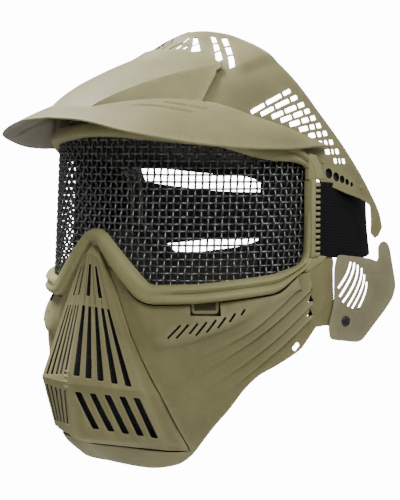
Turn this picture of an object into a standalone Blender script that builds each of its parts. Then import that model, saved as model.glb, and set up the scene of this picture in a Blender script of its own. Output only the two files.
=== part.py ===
"""Full face mask, worn: woven wire goggle, lower mask with a faceted breather grill,
slotted head guard with a visor, two ear guards and an elastic head strap.

Metres. The origin is the middle of the head at eye level. +X is the wearer's left,
-Y is forward and +Z is up. Symmetric shells are modelled as their +X half.
"""
import bpy
import bmesh
from bisect import bisect_right
from math import acos, atan2, ceil, cos, degrees, hypot, pi, radians, sin, sqrt, tan
from mathutils import Matrix, Vector
from mathutils.geometry import delaunay_2d_cdt

# Walls and clearances
GAP = 0.0003
FRAME_WALL = 0.0035
MASK_WALL = 0.0025
GRILL_WALL = 0.0030
GUARD_WALL = 0.0018
VISOR_WALL = 0.0020
EAR_WALL = 0.0015
LENS_THICK = 0.0012
STRAP_THICK = 0.0020

# Window and wire lens: half an ellipse in plan, leaning back towards the brow
LENS_HALF_WIDTH = 0.0840
LENS_DEPTH = 0.0810
LENS_LEAN = radians(3.5)
WINDOW_REACH = 0.1260
WINDOW_TOP = 0.0369
WINDOW_BOTTOM = 0.0448
ARCH_RADIUS = 0.0125

# Goggle frame
FRAME_WIDTH = 0.0110
FRAME_PROUD = 0.0062
GROOVE_DEPTH = 0.0026
LENS_PLAY = 0.0004
FLANGE_SHARE = 0.90
FLANGE_WALL = 0.0020
FLANGE_ROOT = 0.0035
PAD_HALF_WIDTH = 0.0600
PAD_BROW = 0.0420
PAD_TEMPLE = 0.0020
PAD_NOSE = 0.0120
PAD_TOP = 0.0255
PAD_BOTTOM = 0.0360
PAD_BREADTH = 0.0130
PAD_THICK = 0.0110

# Strap, its posts and the clips under the frame
STRAP_WIDTH = 0.0413
STRAP_BACK_WIDTH = 0.0310
STRAP_TOP = 0.0110
STRAP_BACK_TOP = 0.0005
STRAP_CENTRE = 0.0250
STRAP_HALF_WIDTH = 0.0860
STRAP_BACK = 0.0840
STRAP_SEAT = 0.0883
STRAP_LAG = 0.0028
POST_LEAD = 0.0015
POST_LENGTH = 0.0036
POST_BOTTOM = -0.0310
POST_INNER = 0.0850
POST_OUTER = 0.0910
TOOTH_COUNT = 13
TOOTH_LENGTH = 0.0035
TOOTH_WIDTH = 0.0017
TOOTH_INNER = 0.0896
TOOTH_OUTER = 0.0914
CLIP_WIDTH = 0.0150
CLIP_TOP = -0.0480
CLIP_BOTTOM = -0.0606
CLIP_REACH = 0.0846
CLIP_AT = radians(45)

# Lower mask: reach from the head's axis, and the drop to the chin
MASK_REACH = 0.0900
CHIN_DROP = 0.1470
MASK_SIDE = 0.99 * MASK_REACH
MASK_BACK = radians(99.5)
RIB_HEIGHT = 0.0030
SEAT_GAP = 0.0004

# Breather grill
GRILL_REACH = 0.1075
GRILL_DROP = 0.1370
GRILL_HALF_WIDTH = 0.0540

# Head guard dome: centre and half sizes, with squarer sides
DOME_BACK = 0.0660
DOME_LOW = 0.0300
DOME_HALF_WIDTH = 0.0920
DOME_LENGTH = 0.1760
DOME_HEIGHT = 0.1385
DOME_SQUARE = 0.85
BAND_RAISE = 0.0016
DOME_DROP = 0.0045
DOME_DROP_END = 0.0600

# Visor
BRIM_REACH = 0.1205
BRIM_HEIGHT = 0.0467
HOOD_FRONT = 0.1030
HOOD_REAR = 0.0250
HOOD_FRONT_HALF = 0.0160
HOOD_REAR_HALF = 0.0410
HOOD_FOOT = 0.0499
HOOD_FOOT_AT = 0.0500
HOOD_CORNER = 0.0436
HOOD_SHOULDER = 0.0780
HOOD_CROWN = 0.0085
HOOD_BULGE = 0.0015

# Ear guards: flared plates
EAR_AT = MASK_REACH + 0.0020
EAR_MIDDLE = 0.0200
EAR_FLARE = radians(14)
EAR_HEIGHT = 0.0585
EAR_LENGTH = 0.0507
STUD_RADIUS = 0.0029
STUD_SHANK = 0.0016
STUD_HEAD = 0.0012
STUD_BACK = 0.0240
STUD_DROP = 0.0689


MIRROR_X = Matrix.Diagonal((-1, 1, 1, 1))


# Flat outlines

def rounded(corners):
    """Points of an open outline whose corners (u, v, radius, arc steps) are rounded by arcs."""
    points = []
    count = len(corners)
    for i, (u, v, radius, steps) in enumerate(corners):
        here = Vector((u, v))
        if i in (0, count - 1):
            points.append(here)
            continue
        before = Vector(corners[i - 1][:2]) - here
        after = Vector(corners[i + 1][:2]) - here
        half = before.angle(after) / 2
        cut = min(radius / tan(half), before.length * 0.49, after.length * 0.49)
        radius = cut * tan(half)
        middle = here + (before.normalized() + after.normalized()).normalized() * radius / sin(half)
        start = here + before.normalized() * cut - middle
        sweep = pi - 2 * half
        if before.cross(after) > 0:
            sweep = -sweep
        for k in range(steps + 1):
            turn = sweep * k / steps
            spun = (start.x * cos(turn) - start.y * sin(turn), start.x * sin(turn) + start.y * cos(turn))
            points.append(middle + Vector(spun))
    return points


def divided(points, step, closed=True):
    """The same line with no stretch longer than step."""
    result = []
    pairs = list(zip(points, points[1:] + points[:1] if closed else points[1:]))
    for a, b in pairs:
        parts = max(1, ceil((b - a).length / step - 1e-6))
        result += [a.lerp(b, k / parts) for k in range(parts)]
    if not closed:
        result.append(points[-1])
    return result


def half_normals(points):
    """Outward normals of a half outline that runs clockwise from the plane back to the plane."""
    mirrored = [Vector((-points[1].x, points[1].y))] + points + [Vector((-points[-2].x, points[-2].y))]
    normals = []
    for a, here, b in zip(mirrored, points, mirrored[2:]):
        along = (here - a).normalized() + (b - here).normalized()
        normals.append(Vector((-along.y, along.x)).normalized())
    return normals


def circle(u, v, radius, sides):
    return [Vector((u + radius * cos(2 * pi * k / sides), v + radius * sin(2 * pi * k / sides)))
            for k in range(sides)]


def bar(a, b, width_a, width_b):
    """Four corners of a slot from a to b, in the flat."""
    a, b = Vector(a), Vector(b)
    along = (b - a).normalized()
    side = Vector((-along.y, along.x))
    return [a - side * width_a / 2, b - side * width_b / 2, b + side * width_b / 2, a + side * width_a / 2]


def inside(point, loop):
    hit = False
    for a, b in zip(loop, loop[1:] + loop[:1]):
        if (a.y > point.y) != (b.y > point.y):
            if point.x < a.x + (point.y - a.y) / (b.y - a.y) * (b.x - a.x):
                hit = not hit
    return hit


def distance(point, a, b):
    along = b - a
    share = max(0.0, min(1.0, (point - a).dot(along) / max(along.length_squared, 1e-12)))
    return (point - a - along * share).length


# Tables

def curve(table, at):
    """Smooth value of a table of (place, value) rows."""
    keys = [row[0] for row in table]
    at = min(max(at, keys[0]), keys[-1])
    i = min(max(bisect_right(keys, at) - 1, 0), len(keys) - 2)
    (x0, y0), (x1, y1) = table[i], table[i + 1]
    step = x1 - x0
    chord = (y1 - y0) / step
    slope0 = (y1 - table[i - 1][1]) / (x1 - table[i - 1][0]) if i > 0 else chord
    slope1 = (table[i + 2][1] - y0) / (table[i + 2][0] - x0) if i + 2 < len(table) else chord
    s = (at - x0) / step
    return ((2 * s ** 3 - 3 * s ** 2 + 1) * y0 + (s ** 3 - 2 * s ** 2 + s) * step * slope0
            + (3 * s ** 2 - 2 * s ** 3) * y1 + (s ** 3 - s ** 2) * step * slope1)


def line(table, at):
    """Straight-line value of a table of (place, value) rows."""
    keys = [row[0] for row in table]
    at = min(max(at, keys[0]), keys[-1])
    i = min(max(bisect_right(keys, at) - 1, 0), len(keys) - 2)
    (x0, y0), (x1, y1) = table[i], table[i + 1]
    return y0 + (y1 - y0) * (at - x0) / (x1 - x0)


def ease(low, high, at):
    s = max(0.0, min(1.0, (at - low) / (high - low)))
    return s * s * (3 - 2 * s)


# Objects

def material(name, colour, roughness, metallic=0.0):
    mat = bpy.data.materials.new(name)
    mat.use_nodes = True
    shader = mat.node_tree.nodes["Principled BSDF"]
    shader.inputs["Base Color"].default_value = (*colour, 1.0)
    shader.inputs["Roughness"].default_value = roughness
    shader.inputs["Metallic"].default_value = metallic
    mat.diffuse_color = (*colour, 1.0)
    return mat


def new_object(name, mesh, mat, smooth_angle=radians(40)):
    mesh.shade_smooth()
    mesh.set_sharp_from_angle(angle=smooth_angle)
    obj = bpy.data.objects.new(name, mesh)
    obj.data.materials.append(mat)
    PARTS.objects.link(obj)
    return obj


def mirror(obj):
    modifier = obj.modifiers.new("both sides", "MIRROR")
    modifier.merge_threshold = 0.00005
    modifier.use_clip = True


def thicken(obj, wall, offset=-1.0):
    modifier = obj.modifiers.new("wall", "SOLIDIFY")
    modifier.thickness = wall
    modifier.offset = offset
    modifier.use_even_offset = True
    modifier.thickness_clamp = 1.0


def sheet(name, outline, holes, step, place, mat, creases=(), inner=None):
    """A surface of triangles inside the outline and clear of the holes, put at place(u, v).

    With an inner place the wall is closed as well: both faces and the rim, but for the middle plane.
    """
    points, edges = [], []
    for loop in [outline] + list(holes):
        first = len(points)
        points += loop
        edges += [(first + i, first + (i + 1) % len(loop)) for i in range(len(loop))]
    walls = [(points[a], points[b]) for a, b in edges]
    for ridge in creases:
        first = len(points)
        points += ridge
        edges += [(first + i, first + i + 1) for i in range(len(ridge) - 1)]
    lines = [(points[a], points[b]) for a, b in edges]
    low = Vector((min(p.x for p in outline), min(p.y for p in outline)))
    high = Vector((max(p.x for p in outline), max(p.y for p in outline)))
    rows = ceil((high.y - low.y) / (step * 0.87))
    for row in range(1, rows):
        for column in range(ceil((high.x - low.x) / step) + 1):
            spot = low + Vector(((column + 0.5 * (row % 2)) * step, row * step * 0.87))
            if inside(spot, outline) and min(distance(spot, a, b) for a, b in lines) > step * 0.45:
                points.append(spot)
    flat, _, faces, *_ = delaunay_2d_cdt(points, edges, [], 1, 1e-7)
    bm = bmesh.new()
    verts = [bm.verts.new(place(p.x, p.y)) for p in flat]
    backs = [bm.verts.new(inner(p.x, p.y)) for p in flat] if inner else []
    rim = {}
    for face in faces:
        middle = sum((flat[i] for i in face), Vector((0, 0))) / len(face)
        if any(inside(middle, hole) for hole in holes):
            continue
        bm.faces.new([verts[i] for i in face])
        if inner:
            bm.faces.new([backs[i] for i in reversed(face)])
            for i, j in zip(face, list(face[1:]) + [face[0]]):
                if not rim.pop((j, i), False):
                    rim[i, j] = True
    for i, j in rim:
        if max(flat[i].x, flat[j].x) > 1e-6:
            bm.faces.new((verts[j], verts[i], backs[i], backs[j]))
    bmesh.ops.delete(bm, geom=[v for v in bm.verts if not v.link_faces], context="VERTS")
    mesh = bpy.data.meshes.new(name)
    bm.to_mesh(mesh)
    bm.free()
    return new_object(name, mesh, mat)


def loft(name, rings, mat, closed=False):
    """A skin over rings of points; open rings of stations stay open at both ends."""
    bm = bmesh.new()
    skins = [[bm.verts.new(p) for p in ring] for ring in rings]
    pairs = list(zip(skins, skins[1:] + skins[:1] if closed else skins[1:]))
    for a, b in pairs:
        for i in range(len(a)):
            j = (i + 1) % len(a)
            bm.faces.new((a[i], a[j], b[j], b[i]))
    bmesh.ops.triangulate(bm, faces=bm.faces[:], quad_method="SHORT_EDGE")
    mesh = bpy.data.meshes.new(name)
    bm.to_mesh(mesh)
    bm.free()
    return new_object(name, mesh, mat)


# Window and lens form

LENS_ARC = (LENS_HALF_WIDTH + LENS_DEPTH) / 2


def lens_point(u, z, out=0.0):
    """Point on the lens form, u along its arc from the middle, z high, out off its surface."""
    phi = min(u / LENS_ARC, pi / 2)
    x = LENS_HALF_WIDTH * sin(phi)
    y = -LENS_DEPTH * cos(phi) + max(0.0, u - LENS_ARC * pi / 2)
    normal = Vector((LENS_DEPTH * sin(phi), -LENS_HALF_WIDTH * cos(phi), 0)).normalized()
    return Vector((x, y + tan(LENS_LEAN) * z, z)) + normal * out


TEMPLE = lens_point(WINDOW_REACH, 0).y
POST_START = TEMPLE - POST_LEAD
POST_END = POST_START + POST_LENGTH
STRAP_START = POST_END + STRAP_LAG
OPENING = (
    # window corner: u as a share of WINDOW_REACH, z as a share of WINDOW_TOP or _BOTTOM, radius, arc steps,
    # then the pad's corner: x as a share of PAD_HALF_WIDTH, z as a share of PAD_TOP or _BOTTOM, radius
    (-1.00, 0.69, 0.000, 0, -1.00, 0.72, 0.000), (0.00, 1.00, 0.200, 4, 0.00, 1.00, 0.090),
    (1.00, 0.69, 0.016, 3, 1.00, 0.72, 0.014), (1.00, -0.76, 0.009, 3, 1.00, -0.70, 0.013),
    (0.83, -0.88, 0.030, 1, 0.83, -0.88, 0.020), (0.49, -0.98, 0.060, 1, 0.53, -0.97, 0.030),
    (0.28, -1.00, 0.008, 2, 0.30, -1.00, 0.009), (0.00, -0.2125, ARCH_RADIUS, 4, 0.00, -0.28, 0.016),
    (-0.28, -1.00, 0.000, 0, -0.30, -1.00, 0.000))


def opening_lines(step=0.020):
    """Half outlines of the window and of the pad's seat, from the brow's middle to the nose arch."""
    corners, seats = [], []
    for u, z, radius, steps, pad_x, pad_z, pad_radius in OPENING:
        corners.append((u * WINDOW_REACH, z * (WINDOW_TOP if z > 0 else WINDOW_BOTTOM), radius, steps))
        seats.append((pad_x * PAD_HALF_WIDTH, pad_z * (PAD_TOP if pad_z > 0 else PAD_BOTTOM), pad_radius, steps))
    pairs = [pair for pair in zip(rounded(corners), rounded(seats)) if pair[0].x > -1e-6]
    window, seat = [pairs[0][0]], [pairs[0][1]]
    for (a, c), (b, d) in zip(pairs, pairs[1:]):
        parts = max(1, ceil((b - a).length / step - 1e-6))
        window += [a.lerp(b, k / parts) for k in range(1, parts + 1)]
        seat += [c.lerp(d, k / parts) for k in range(1, parts + 1)]
    for spot in (window[0], window[-1], seat[0], seat[-1]):
        spot.x = 0.0
    return window, seat


WINDOW, SEAT = opening_lines()


def frame_width(u, z):
    """The frame is narrow at the temples and over the nose, and wide under the eyes."""
    side = ease(0.80, 0.97, u / WINDOW_REACH)
    low = ease(0.0, 0.6, -z / WINDOW_BOTTOM)
    nose = 1 - ease(0.0, 0.22, u / WINDOW_REACH)
    share = 0.76 + 0.24 * low * (1 - side) - 0.38 * side - 0.30 * nose * low
    return FRAME_WIDTH * share


def pad_point(x, z):
    """Seat of the face pad, on the curve of the face."""
    share = x / PAD_HALF_WIDTH
    y = PAD_TEMPLE - (PAD_BROW + PAD_TEMPLE) * (1 - share ** 2)
    nose = (1 - ease(0.0, 0.65, abs(share))) * ease(0.0, 0.3, -z / PAD_BOTTOM)
    return Vector((x, y - PAD_NOSE * nose, z))


def pad_frames():
    """Seat point, outward direction and backward direction at each station of the window."""
    seats = [pad_point(p.x, p.y) for p in SEAT]
    frames = []
    for i, seat in enumerate(seats):
        before = seats[i - 1] if i > 0 else Vector((-seats[1].x, seats[1].y, seats[1].z))
        last = len(seats) - 1
        after = seats[i + 1] if i < last else Vector((-seats[last - 1].x, seats[last - 1].y, seats[last - 1].z))
        along = (after - before).normalized()
        back = Vector((-0.30 * seat.x / PAD_HALF_WIDTH, 1, 0)).normalized()
        out = along.cross(back).normalized()
        frames.append((seat, out, back))
    return frames


LOWER_TAIL = (
    # y behind the temple edge of the window, and z
    (-0.0045, -0.0394), (0.0090, -0.0346), (0.0147, -0.0310), (0.0087, -0.0306), (0.0005, -0.0300),
    (-0.0045, -0.0330))
UPPER_TAIL = (
    # y behind the temple edge of the window, and z
    (-0.0025, 0.0270), (-0.0025, 0.0124), (0.0115, 0.0124), (0.0103, 0.0160), (0.0040, 0.0260))
TAIL_INNER = 0.0862
TAIL_OUTER = 0.0897


def prism(name, outline, low, high, turn=0.0):
    """Hidden cutter: an outline in the Y-Z plane, pulled out along X and turned about Z."""
    bm = bmesh.new()
    near = [bm.verts.new((low, y, z)) for y, z in outline]
    far = [bm.verts.new((high, y, z)) for y, z in outline]
    bm.faces.new(near)
    bm.faces.new(far[::-1])
    for i in range(len(near)):
        j = (i + 1) % len(near)
        bm.faces.new((near[j], near[i], far[i], far[j]))
    bmesh.ops.recalc_face_normals(bm, faces=bm.faces[:])
    bmesh.ops.rotate(bm, verts=bm.verts[:], matrix=Matrix.Rotation(turn, 3, "Z"))
    mesh = bpy.data.meshes.new(name)
    bm.to_mesh(mesh)
    bm.free()
    tool = bpy.data.objects.new(name, mesh)
    tool.hide_render = True
    tool.display_type = "WIRE"
    CUTTERS.objects.link(tool)
    mirror(tool)
    return tool


def comb_outline():
    """Toothed edge over the end of the strap."""
    length = STRAP_TOP - POST_BOTTOM
    pitch = length / TOOTH_COUNT
    points = [(POST_END - 0.0015, POST_BOTTOM + 0.0005)]
    for k in range(TOOTH_COUNT):
        foot = POST_BOTTOM + (k + 0.5) * pitch - TOOTH_WIDTH / 2
        points += [(POST_END, foot), (POST_END + TOOTH_LENGTH, foot),
                   (POST_END + TOOTH_LENGTH, foot + TOOTH_WIDTH), (POST_END, foot + TOOTH_WIDTH)]
    points.append((POST_END - 0.0015, STRAP_TOP - 0.0005))
    return points


def frame_fittings():
    """Strap posts with combs, the frame's lower and upper tails and the clips over the mask."""
    post = [(POST_START, POST_BOTTOM), (POST_END, POST_BOTTOM), (POST_END, STRAP_TOP + 0.0015),
            (POST_START, STRAP_TOP + 0.0015)]
    clip = [(-CLIP_WIDTH / 2, CLIP_TOP), (-CLIP_WIDTH / 2, CLIP_BOTTOM),
            (CLIP_WIDTH / 2, CLIP_BOTTOM), (CLIP_WIDTH / 2, CLIP_TOP)]
    return [
        prism("post cutter", post, POST_INNER, POST_OUTER),
        prism("comb cutter", comb_outline(), TOOTH_INNER, TOOTH_OUTER),
        prism("lower tail cutter", [(TEMPLE + y, z) for y, z in LOWER_TAIL], TAIL_INNER, TAIL_OUTER),
        prism("upper tail cutter", [(TEMPLE + y, z) for y, z in UPPER_TAIL], TAIL_INNER, TAIL_OUTER),
        prism("clip cutter", clip, CLIP_REACH - 0.0025, CLIP_REACH, -CLIP_AT)]


def make_frame(mat):
    """The frame's section swept round the window: ridged bezel, lens groove, wall and flange."""
    slot = LENS_THICK / 2 + LENS_PLAY
    rings = []
    for point, normal, (seat, out, back) in zip(WINDOW, half_normals(WINDOW), pad_frames()):
        width = frame_width(point.x, point.y)
        side = ease(0.3, 0.9, out.x)
        lip = FLANGE_SHARE * PAD_BREADTH / 2

        def front(along, rise, point=point, normal=normal):
            spot = point + normal * along
            return lens_point(spot.x, spot.y, rise)

        def rear(along, deep, seat=seat, out=out, back=back):
            return seat + out * along + back * deep

        rings.append([
            front(GROOVE_DEPTH + GAP, -slot), front(0, -slot), front(0.06 * width, -0.60 * FRAME_PROUD),
            rear(-FRAME_WALL / 2, -FLANGE_ROOT), rear(-lip, -FLANGE_WALL), rear(-lip, 0), rear(lip, 0),
            rear(lip, -FLANGE_WALL + side * 0.0010),
            rear(FRAME_WALL / 2 + side * 0.0035, -FLANGE_ROOT + side * 0.0018), front(0.84 * width, -0.75 * FRAME_PROUD), front(width, 0),
            front(0.93 * width, 0.70 * FRAME_PROUD), front(0.70 * width, 1.00 * FRAME_PROUD),
            front(0.46 * width, 0.66 * FRAME_PROUD), front(0.24 * width, 0.96 * FRAME_PROUD),
            front(0.05 * width, 0.60 * FRAME_PROUD), front(0, slot), front(GROOVE_DEPTH + GAP, slot)])
    for ring in (rings[0], rings[-1]):
        for spot in ring:
            spot.x = 0.0
    frame = loft("goggle_frame", rings, mat)
    mirror(frame)
    for fitting in frame_fittings():
        joined = frame.modifiers.new(fitting.name, "BOOLEAN")
        joined.operation = "UNION"
        joined.solver = "EXACT"
        joined.object = fitting


def make_lens(mat):
    """The wire lens as a plain thin sheet that ends in the frame's groove."""
    edge = [p + n * GROOVE_DEPTH for p, n in zip(WINDOW, half_normals(WINDOW))]
    edge[0].x = 0.0
    edge[-1].x = 0.0
    lens = sheet("mesh_lens", edge, [], 0.018, lens_point, mat)
    mirror(lens)
    thicken(lens, LENS_THICK, 0.0)


def make_pad(mat):
    """Foam ring on the frame's rear flange, with a rounded section."""
    rings = []
    half, deep = PAD_BREADTH / 2, PAD_THICK
    section = [(FLANGE_SHARE, 0.0), (-FLANGE_SHARE, 0.0), (-1.0, 0.25), (-1.0, 0.65), (-0.55, 1.0), (0.55, 1.0),
               (1.0, 0.65), (1.0, 0.25)]
    for seat, out, back in pad_frames():
        rings.append([seat + out * (across * half) + back * (GAP + rise * deep) for across, rise in section])
    for ring in (rings[0], rings[-1]):
        for spot in ring:
            spot.x = 0.0
    pad = loft("face_pad", rings, mat)
    mirror(pad)


# Strap

def strap_path():
    """Half path in plan, from the post round to the back of the head."""
    points = [Vector((STRAP_SEAT, STRAP_START)), Vector((STRAP_SEAT - 0.0007, STRAP_START + 0.010))]
    for k in range(0, 9):
        angle = pi / 2 * k / 8
        points.append(Vector((STRAP_HALF_WIDTH * cos(angle), STRAP_CENTRE + STRAP_BACK * sin(angle))))
    points[-1].x = 0.0
    return points


def make_strap(mat):
    """A flat band, wide at the posts and narrower at the back."""
    path = strap_path()
    bm = bmesh.new()
    rows = []
    run = [0.0]
    for a, b in zip(path, path[1:]):
        run.append(run[-1] + (b - a).length)
    for place, length in zip(path, run):
        share = ease(0, run[-1] * 0.7, length)
        top = STRAP_TOP + (STRAP_BACK_TOP - STRAP_TOP) * share
        width = STRAP_WIDTH + (STRAP_BACK_WIDTH - STRAP_WIDTH) * share
        rows.append([bm.verts.new((place.x, place.y, top - width * k / 2)) for k in range(3)])
    for a, b in zip(rows, rows[1:]):
        for i in range(2):
            bm.faces.new((a[i], a[i + 1], b[i + 1], b[i]))
    mesh = bpy.data.meshes.new("head_strap")
    bm.to_mesh(mesh)
    bm.free()
    strap = new_object("head_strap", mesh, mat)
    mirror(strap)
    thicken(strap, STRAP_THICK, 0.0)


# Ear guard plane, which the lower mask's flange follows

def ear_x(y):
    return EAR_AT + tan(EAR_FLARE) * (y - EAR_MIDDLE)


# Lower mask

MASK_EDGES = (
    # angle in degrees, drop of the top edge, of the cheek ledge and of the lower edge, as shares of CHIN_DROP
    (0, 0.170, 0.300, 1.006), (13.8, 0.220, 0.330, 1.016), (19.7, 0.300, 0.420, 1.018),
    (24.2, 0.345, 0.500, 1.016), (28.8, 0.365, 0.518, 1.010), (34, 0.370, 0.511, 0.998),
    (38, 0.371, 0.502, 0.975), (41.3, 0.372, 0.494, 0.945), (45, 0.371, 0.480, 0.896), (50, 0.368, 0.461, 0.833),
    (55, 0.363, 0.442, 0.780), (61, 0.355, 0.415, 0.706), (67, 0.344, 0.378, 0.654), (73, 0.320, 0.350, 0.626),
    (80, 0.294, 0.320, 0.592), (86, 0.270, 0.300, 0.557), (92.5, 0.240, 0.280, 0.486), (110, 0.240, 0.280, 0.486))
MASK_REACHES = (
    # angle in degrees, reach at the top edge, the ledge, half way down, near the lower edge and at it,
    # as shares of MASK_REACH
    (0, 0.925, 0.950, 0.990, 0.980, 0.830), (13.8, 0.930, 0.955, 0.990, 0.915, 0.805),
    (24.2, 0.935, 0.990, 0.992, 0.908, 0.805), (34, 0.940, 0.998, 0.980, 0.912, 0.800),
    (48, 0.945, 0.995, 0.955, 0.895, 0.870), (60, 0.948, 0.980, 0.945, 0.905, 0.895),
    (76.6, 0.965, 0.975, 0.960, 0.935, 0.930), (86, 0.985, 0.985, 0.975, 0.960, 0.955),
    (96, 0.990, 0.990, 0.990, 0.985, 0.985), (110, 0.990, 0.990, 0.990, 0.990, 0.990))
RIBS = (
    # crest: angle in degrees and drop share at the faded front end, the middle and the rear end
    (36, 0.590, 60, 0.484, 80, 0.325), (38, 0.650, 62, 0.515, 85.5, 0.335),
    (41, 0.712, 64, 0.572, 86.5, 0.388), (46, 0.762, 66, 0.612, 86.5, 0.440))
VENTS = (
    # angle in degrees and drop share at the upper and the lower end
    (36.2, 0.450, 31.9, 0.498), (39.0, 0.447, 35.0, 0.496), (42.2, 0.443, 39.4, 0.480),
    (45.3, 0.438, 41.6, 0.486), (48.6, 0.430, 45.2, 0.475), (52.0, 0.421, 49.1, 0.459),
    (55.5, 0.408, 53.2, 0.438), (59.2, 0.394, 57.6, 0.414))
RIB_ENDS = (
    # corners: angle in degrees and drop share
    ((86.9, 0.310), (85.4, 0.338), (87.9, 0.334)), ((87.0, 0.352), (85.2, 0.380), (87.6, 0.376)),
    ((87.0, 0.404), (85.0, 0.434), (87.4, 0.430)))
MASK_REAR = (
    # y and z from the lower corner up the rear strip
    (0.0035, -0.0712), (0.0130, -0.0710), (0.0180, -0.0732), (0.0268, -0.0736), (0.0282, -0.0722),
    (0.0282, -0.0660), (0.0270, -0.0645), (0.0200, -0.0640), (0.0176, -0.0600), (0.0172, -0.0500))
MASK_LOBE = (
    # y behind the temple edge of the window, and z, over the lobe and under the frame's tail
    (0.0205, -0.0390), (0.0209, -0.0350), (0.0202, -0.0325), (0.0185, -0.0310), (0.0167, -0.0310),
    (0.0156, -0.0319), (0.0145, -0.0324), (0.0093, -0.0357), (0.0033, -0.0395), (-0.0015, -0.0434))
RIB_ABOVE = 0.0096
RIB_BELOW = 0.0018


def column(table, index, at):
    return curve([(row[0], row[index]) for row in table], at)


def rib_crest(rib, angle):
    front, drop0, middle, drop1, rear, drop2 = rib
    return -CHIN_DROP * curve([(front, drop0), (middle, drop1), (rear, drop2)], angle)


def rib_height(angle, z):
    """Overlapping ribs: each rises towards its crest and steps in below it."""
    height = 0.0
    for rib in RIBS:
        share = (angle - rib[0]) / (rib[4] - rib[0])
        if share <= 0 or share >= 1.03:
            continue
        above = z - rib_crest(rib, angle)
        rise = max(0.0, 1 - (above / RIB_ABOVE if above >= 0 else -above / RIB_BELOW))
        height = max(height, rise * RIB_HEIGHT * min(1.0, 1.5 * share) * (0.45 + 0.55 * share))
    return height


def mask_reach(angle, z):
    """Distance of the mask's face from the head's axis."""
    top = -CHIN_DROP * column(MASK_EDGES, 1, angle)
    ledge = -CHIN_DROP * column(MASK_EDGES, 2, angle)
    low = -CHIN_DROP * column(MASK_EDGES, 3, angle)
    reach = [MASK_REACH * column(MASK_REACHES, k, angle) for k in (1, 2, 3, 4, 5)]
    if z >= ledge:
        share = max(0.0, min(1.0, (top - z) / max(top - ledge, 1e-4)))
        return reach[0] + (reach[1] - reach[0]) * (1 - (1 - share) ** 1.8)
    share = min(1.0, (ledge - z) / (ledge - low))
    return curve([(0, reach[1]), (0.5, reach[2]), (0.88, reach[3]), (1, reach[4])], share)


STEP_RUN = 0.0035
MASK_TURN = -MASK_SIDE * cos(MASK_BACK)
MASK_ARC = MASK_BACK * MASK_REACH


def step_start(z):
    """How far back the mask starts to run behind the ear guard."""
    return 0.0150 - 0.0045 * ease(-0.056, -0.064, z)


def mask_point(u, z, out=0.0):
    """Point on the lower mask, u along its girth; its rear strip runs behind the ear guard."""
    angle = min(u, MASK_ARC) / MASK_REACH
    reach = mask_reach(degrees(angle), z) + out
    x = reach * sin(angle)
    y = -reach * cos(angle) + max(0.0, u - MASK_ARC)
    behind = ear_x(y) - (EAR_WALL + GAP) / cos(EAR_FLARE) + out
    start = step_start(z)
    step = ease(start - STEP_RUN, start, y)
    return Vector((x + (behind - x) * step, y, z))


def rib_point(u, z):
    """The mask's outer face with its ribs."""
    return mask_point(u, z, rib_height(degrees(u / MASK_REACH), z))


def inner_point(u, z):
    return mask_point(u, z, -MASK_WALL)


def at_angle(angle, z):
    return Vector((radians(angle) * MASK_REACH, z))


def at_side(y, z):
    """A place in the mask's flat from how far back and how high it lies at the side."""
    if y <= MASK_TURN:
        return Vector((acos(-y / MASK_SIDE) * MASK_REACH, z))
    return Vector((MASK_ARC + y - MASK_TURN, z))


def grill_seat():
    """The mask's edge round the grill: its flank's edge, set off by the seat's clearance."""
    spots = []
    for row in GRILL_ROWS[1:]:
        spot = grill_node(row, 3)
        spots.append((degrees(atan2(spot.x, -spot.y)), spot.z))
    first = grill_node(GRILL_ROWS[0], 3).lerp(grill_node(GRILL_ROWS[1], 3), 0.25)
    spots.insert(0, (degrees(atan2(first.x, -first.y)), first.z))
    line_points = [at_angle(*spot) for spot in spots]
    seat = []
    for i, here in enumerate(line_points[:-1]):
        before = line_points[max(i - 1, 0)]
        along = (line_points[i + 1] - before).normalized()
        seat.append(here + Vector((-along.y, along.x)) * SEAT_GAP)
    seat.append(line_points[-1] + Vector((2 * SEAT_GAP, -2 * SEAT_GAP)))
    edge, middle = grill_node(GRILL_ROWS[-1], 2), grill_node(GRILL_ROWS[-1], 1)
    for share in (0.0, 0.35, 0.7, 1.0):
        spot = edge.lerp(middle, share)
        seat.append(at_angle(degrees(atan2(spot.x, -spot.y)), spot.z - 2 * SEAT_GAP))
    return seat


def under_frame():
    """The mask's top edge below the frame, from the temple to the nose, with the clip's notch."""
    spots = []
    for point, normal in zip(WINDOW, half_normals(WINDOW)):
        spot = point + normal * (frame_width(point.x, point.y) + SEAT_GAP)
        edge = lens_point(spot.x, spot.y)
        angle = degrees(atan2(edge.x, -edge.y))
        if spot.y < -0.033 and normal.y < -0.5 and 9.0 < angle < 84:
            spots.append((angle, spot.y))
    half = degrees((CLIP_WIDTH / 2 + SEAT_GAP) / CLIP_REACH)
    middle = degrees(CLIP_AT)
    before = [at_angle(a, z) for a, z in spots if a > middle + half]
    after = [at_angle(a, z) for a, z in spots if a < middle - half]
    low = CLIP_BOTTOM - SEAT_GAP
    notch = [at_angle(middle + half, line(spots[::-1], middle + half)), at_angle(middle + half, low),
             at_angle(middle - half, low), at_angle(middle - half, line(spots[::-1], middle - half))]
    return before + notch + after


def mask_outline():
    """Half outline: under the chin, up the rear edge, along the frame and down the grill's seat."""
    angles = (0, 8, 16, 24, 32, 39, 46, 53, 60, 68, 77, 86)
    lower = [at_angle(a, -CHIN_DROP * column(MASK_EDGES, 3, a)) for a in angles]
    rear = [at_side(*spot) for spot in MASK_REAR] + [at_side(TEMPLE + y, z) for y, z in MASK_LOBE]
    return lower + rear + under_frame() + grill_seat()


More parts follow.
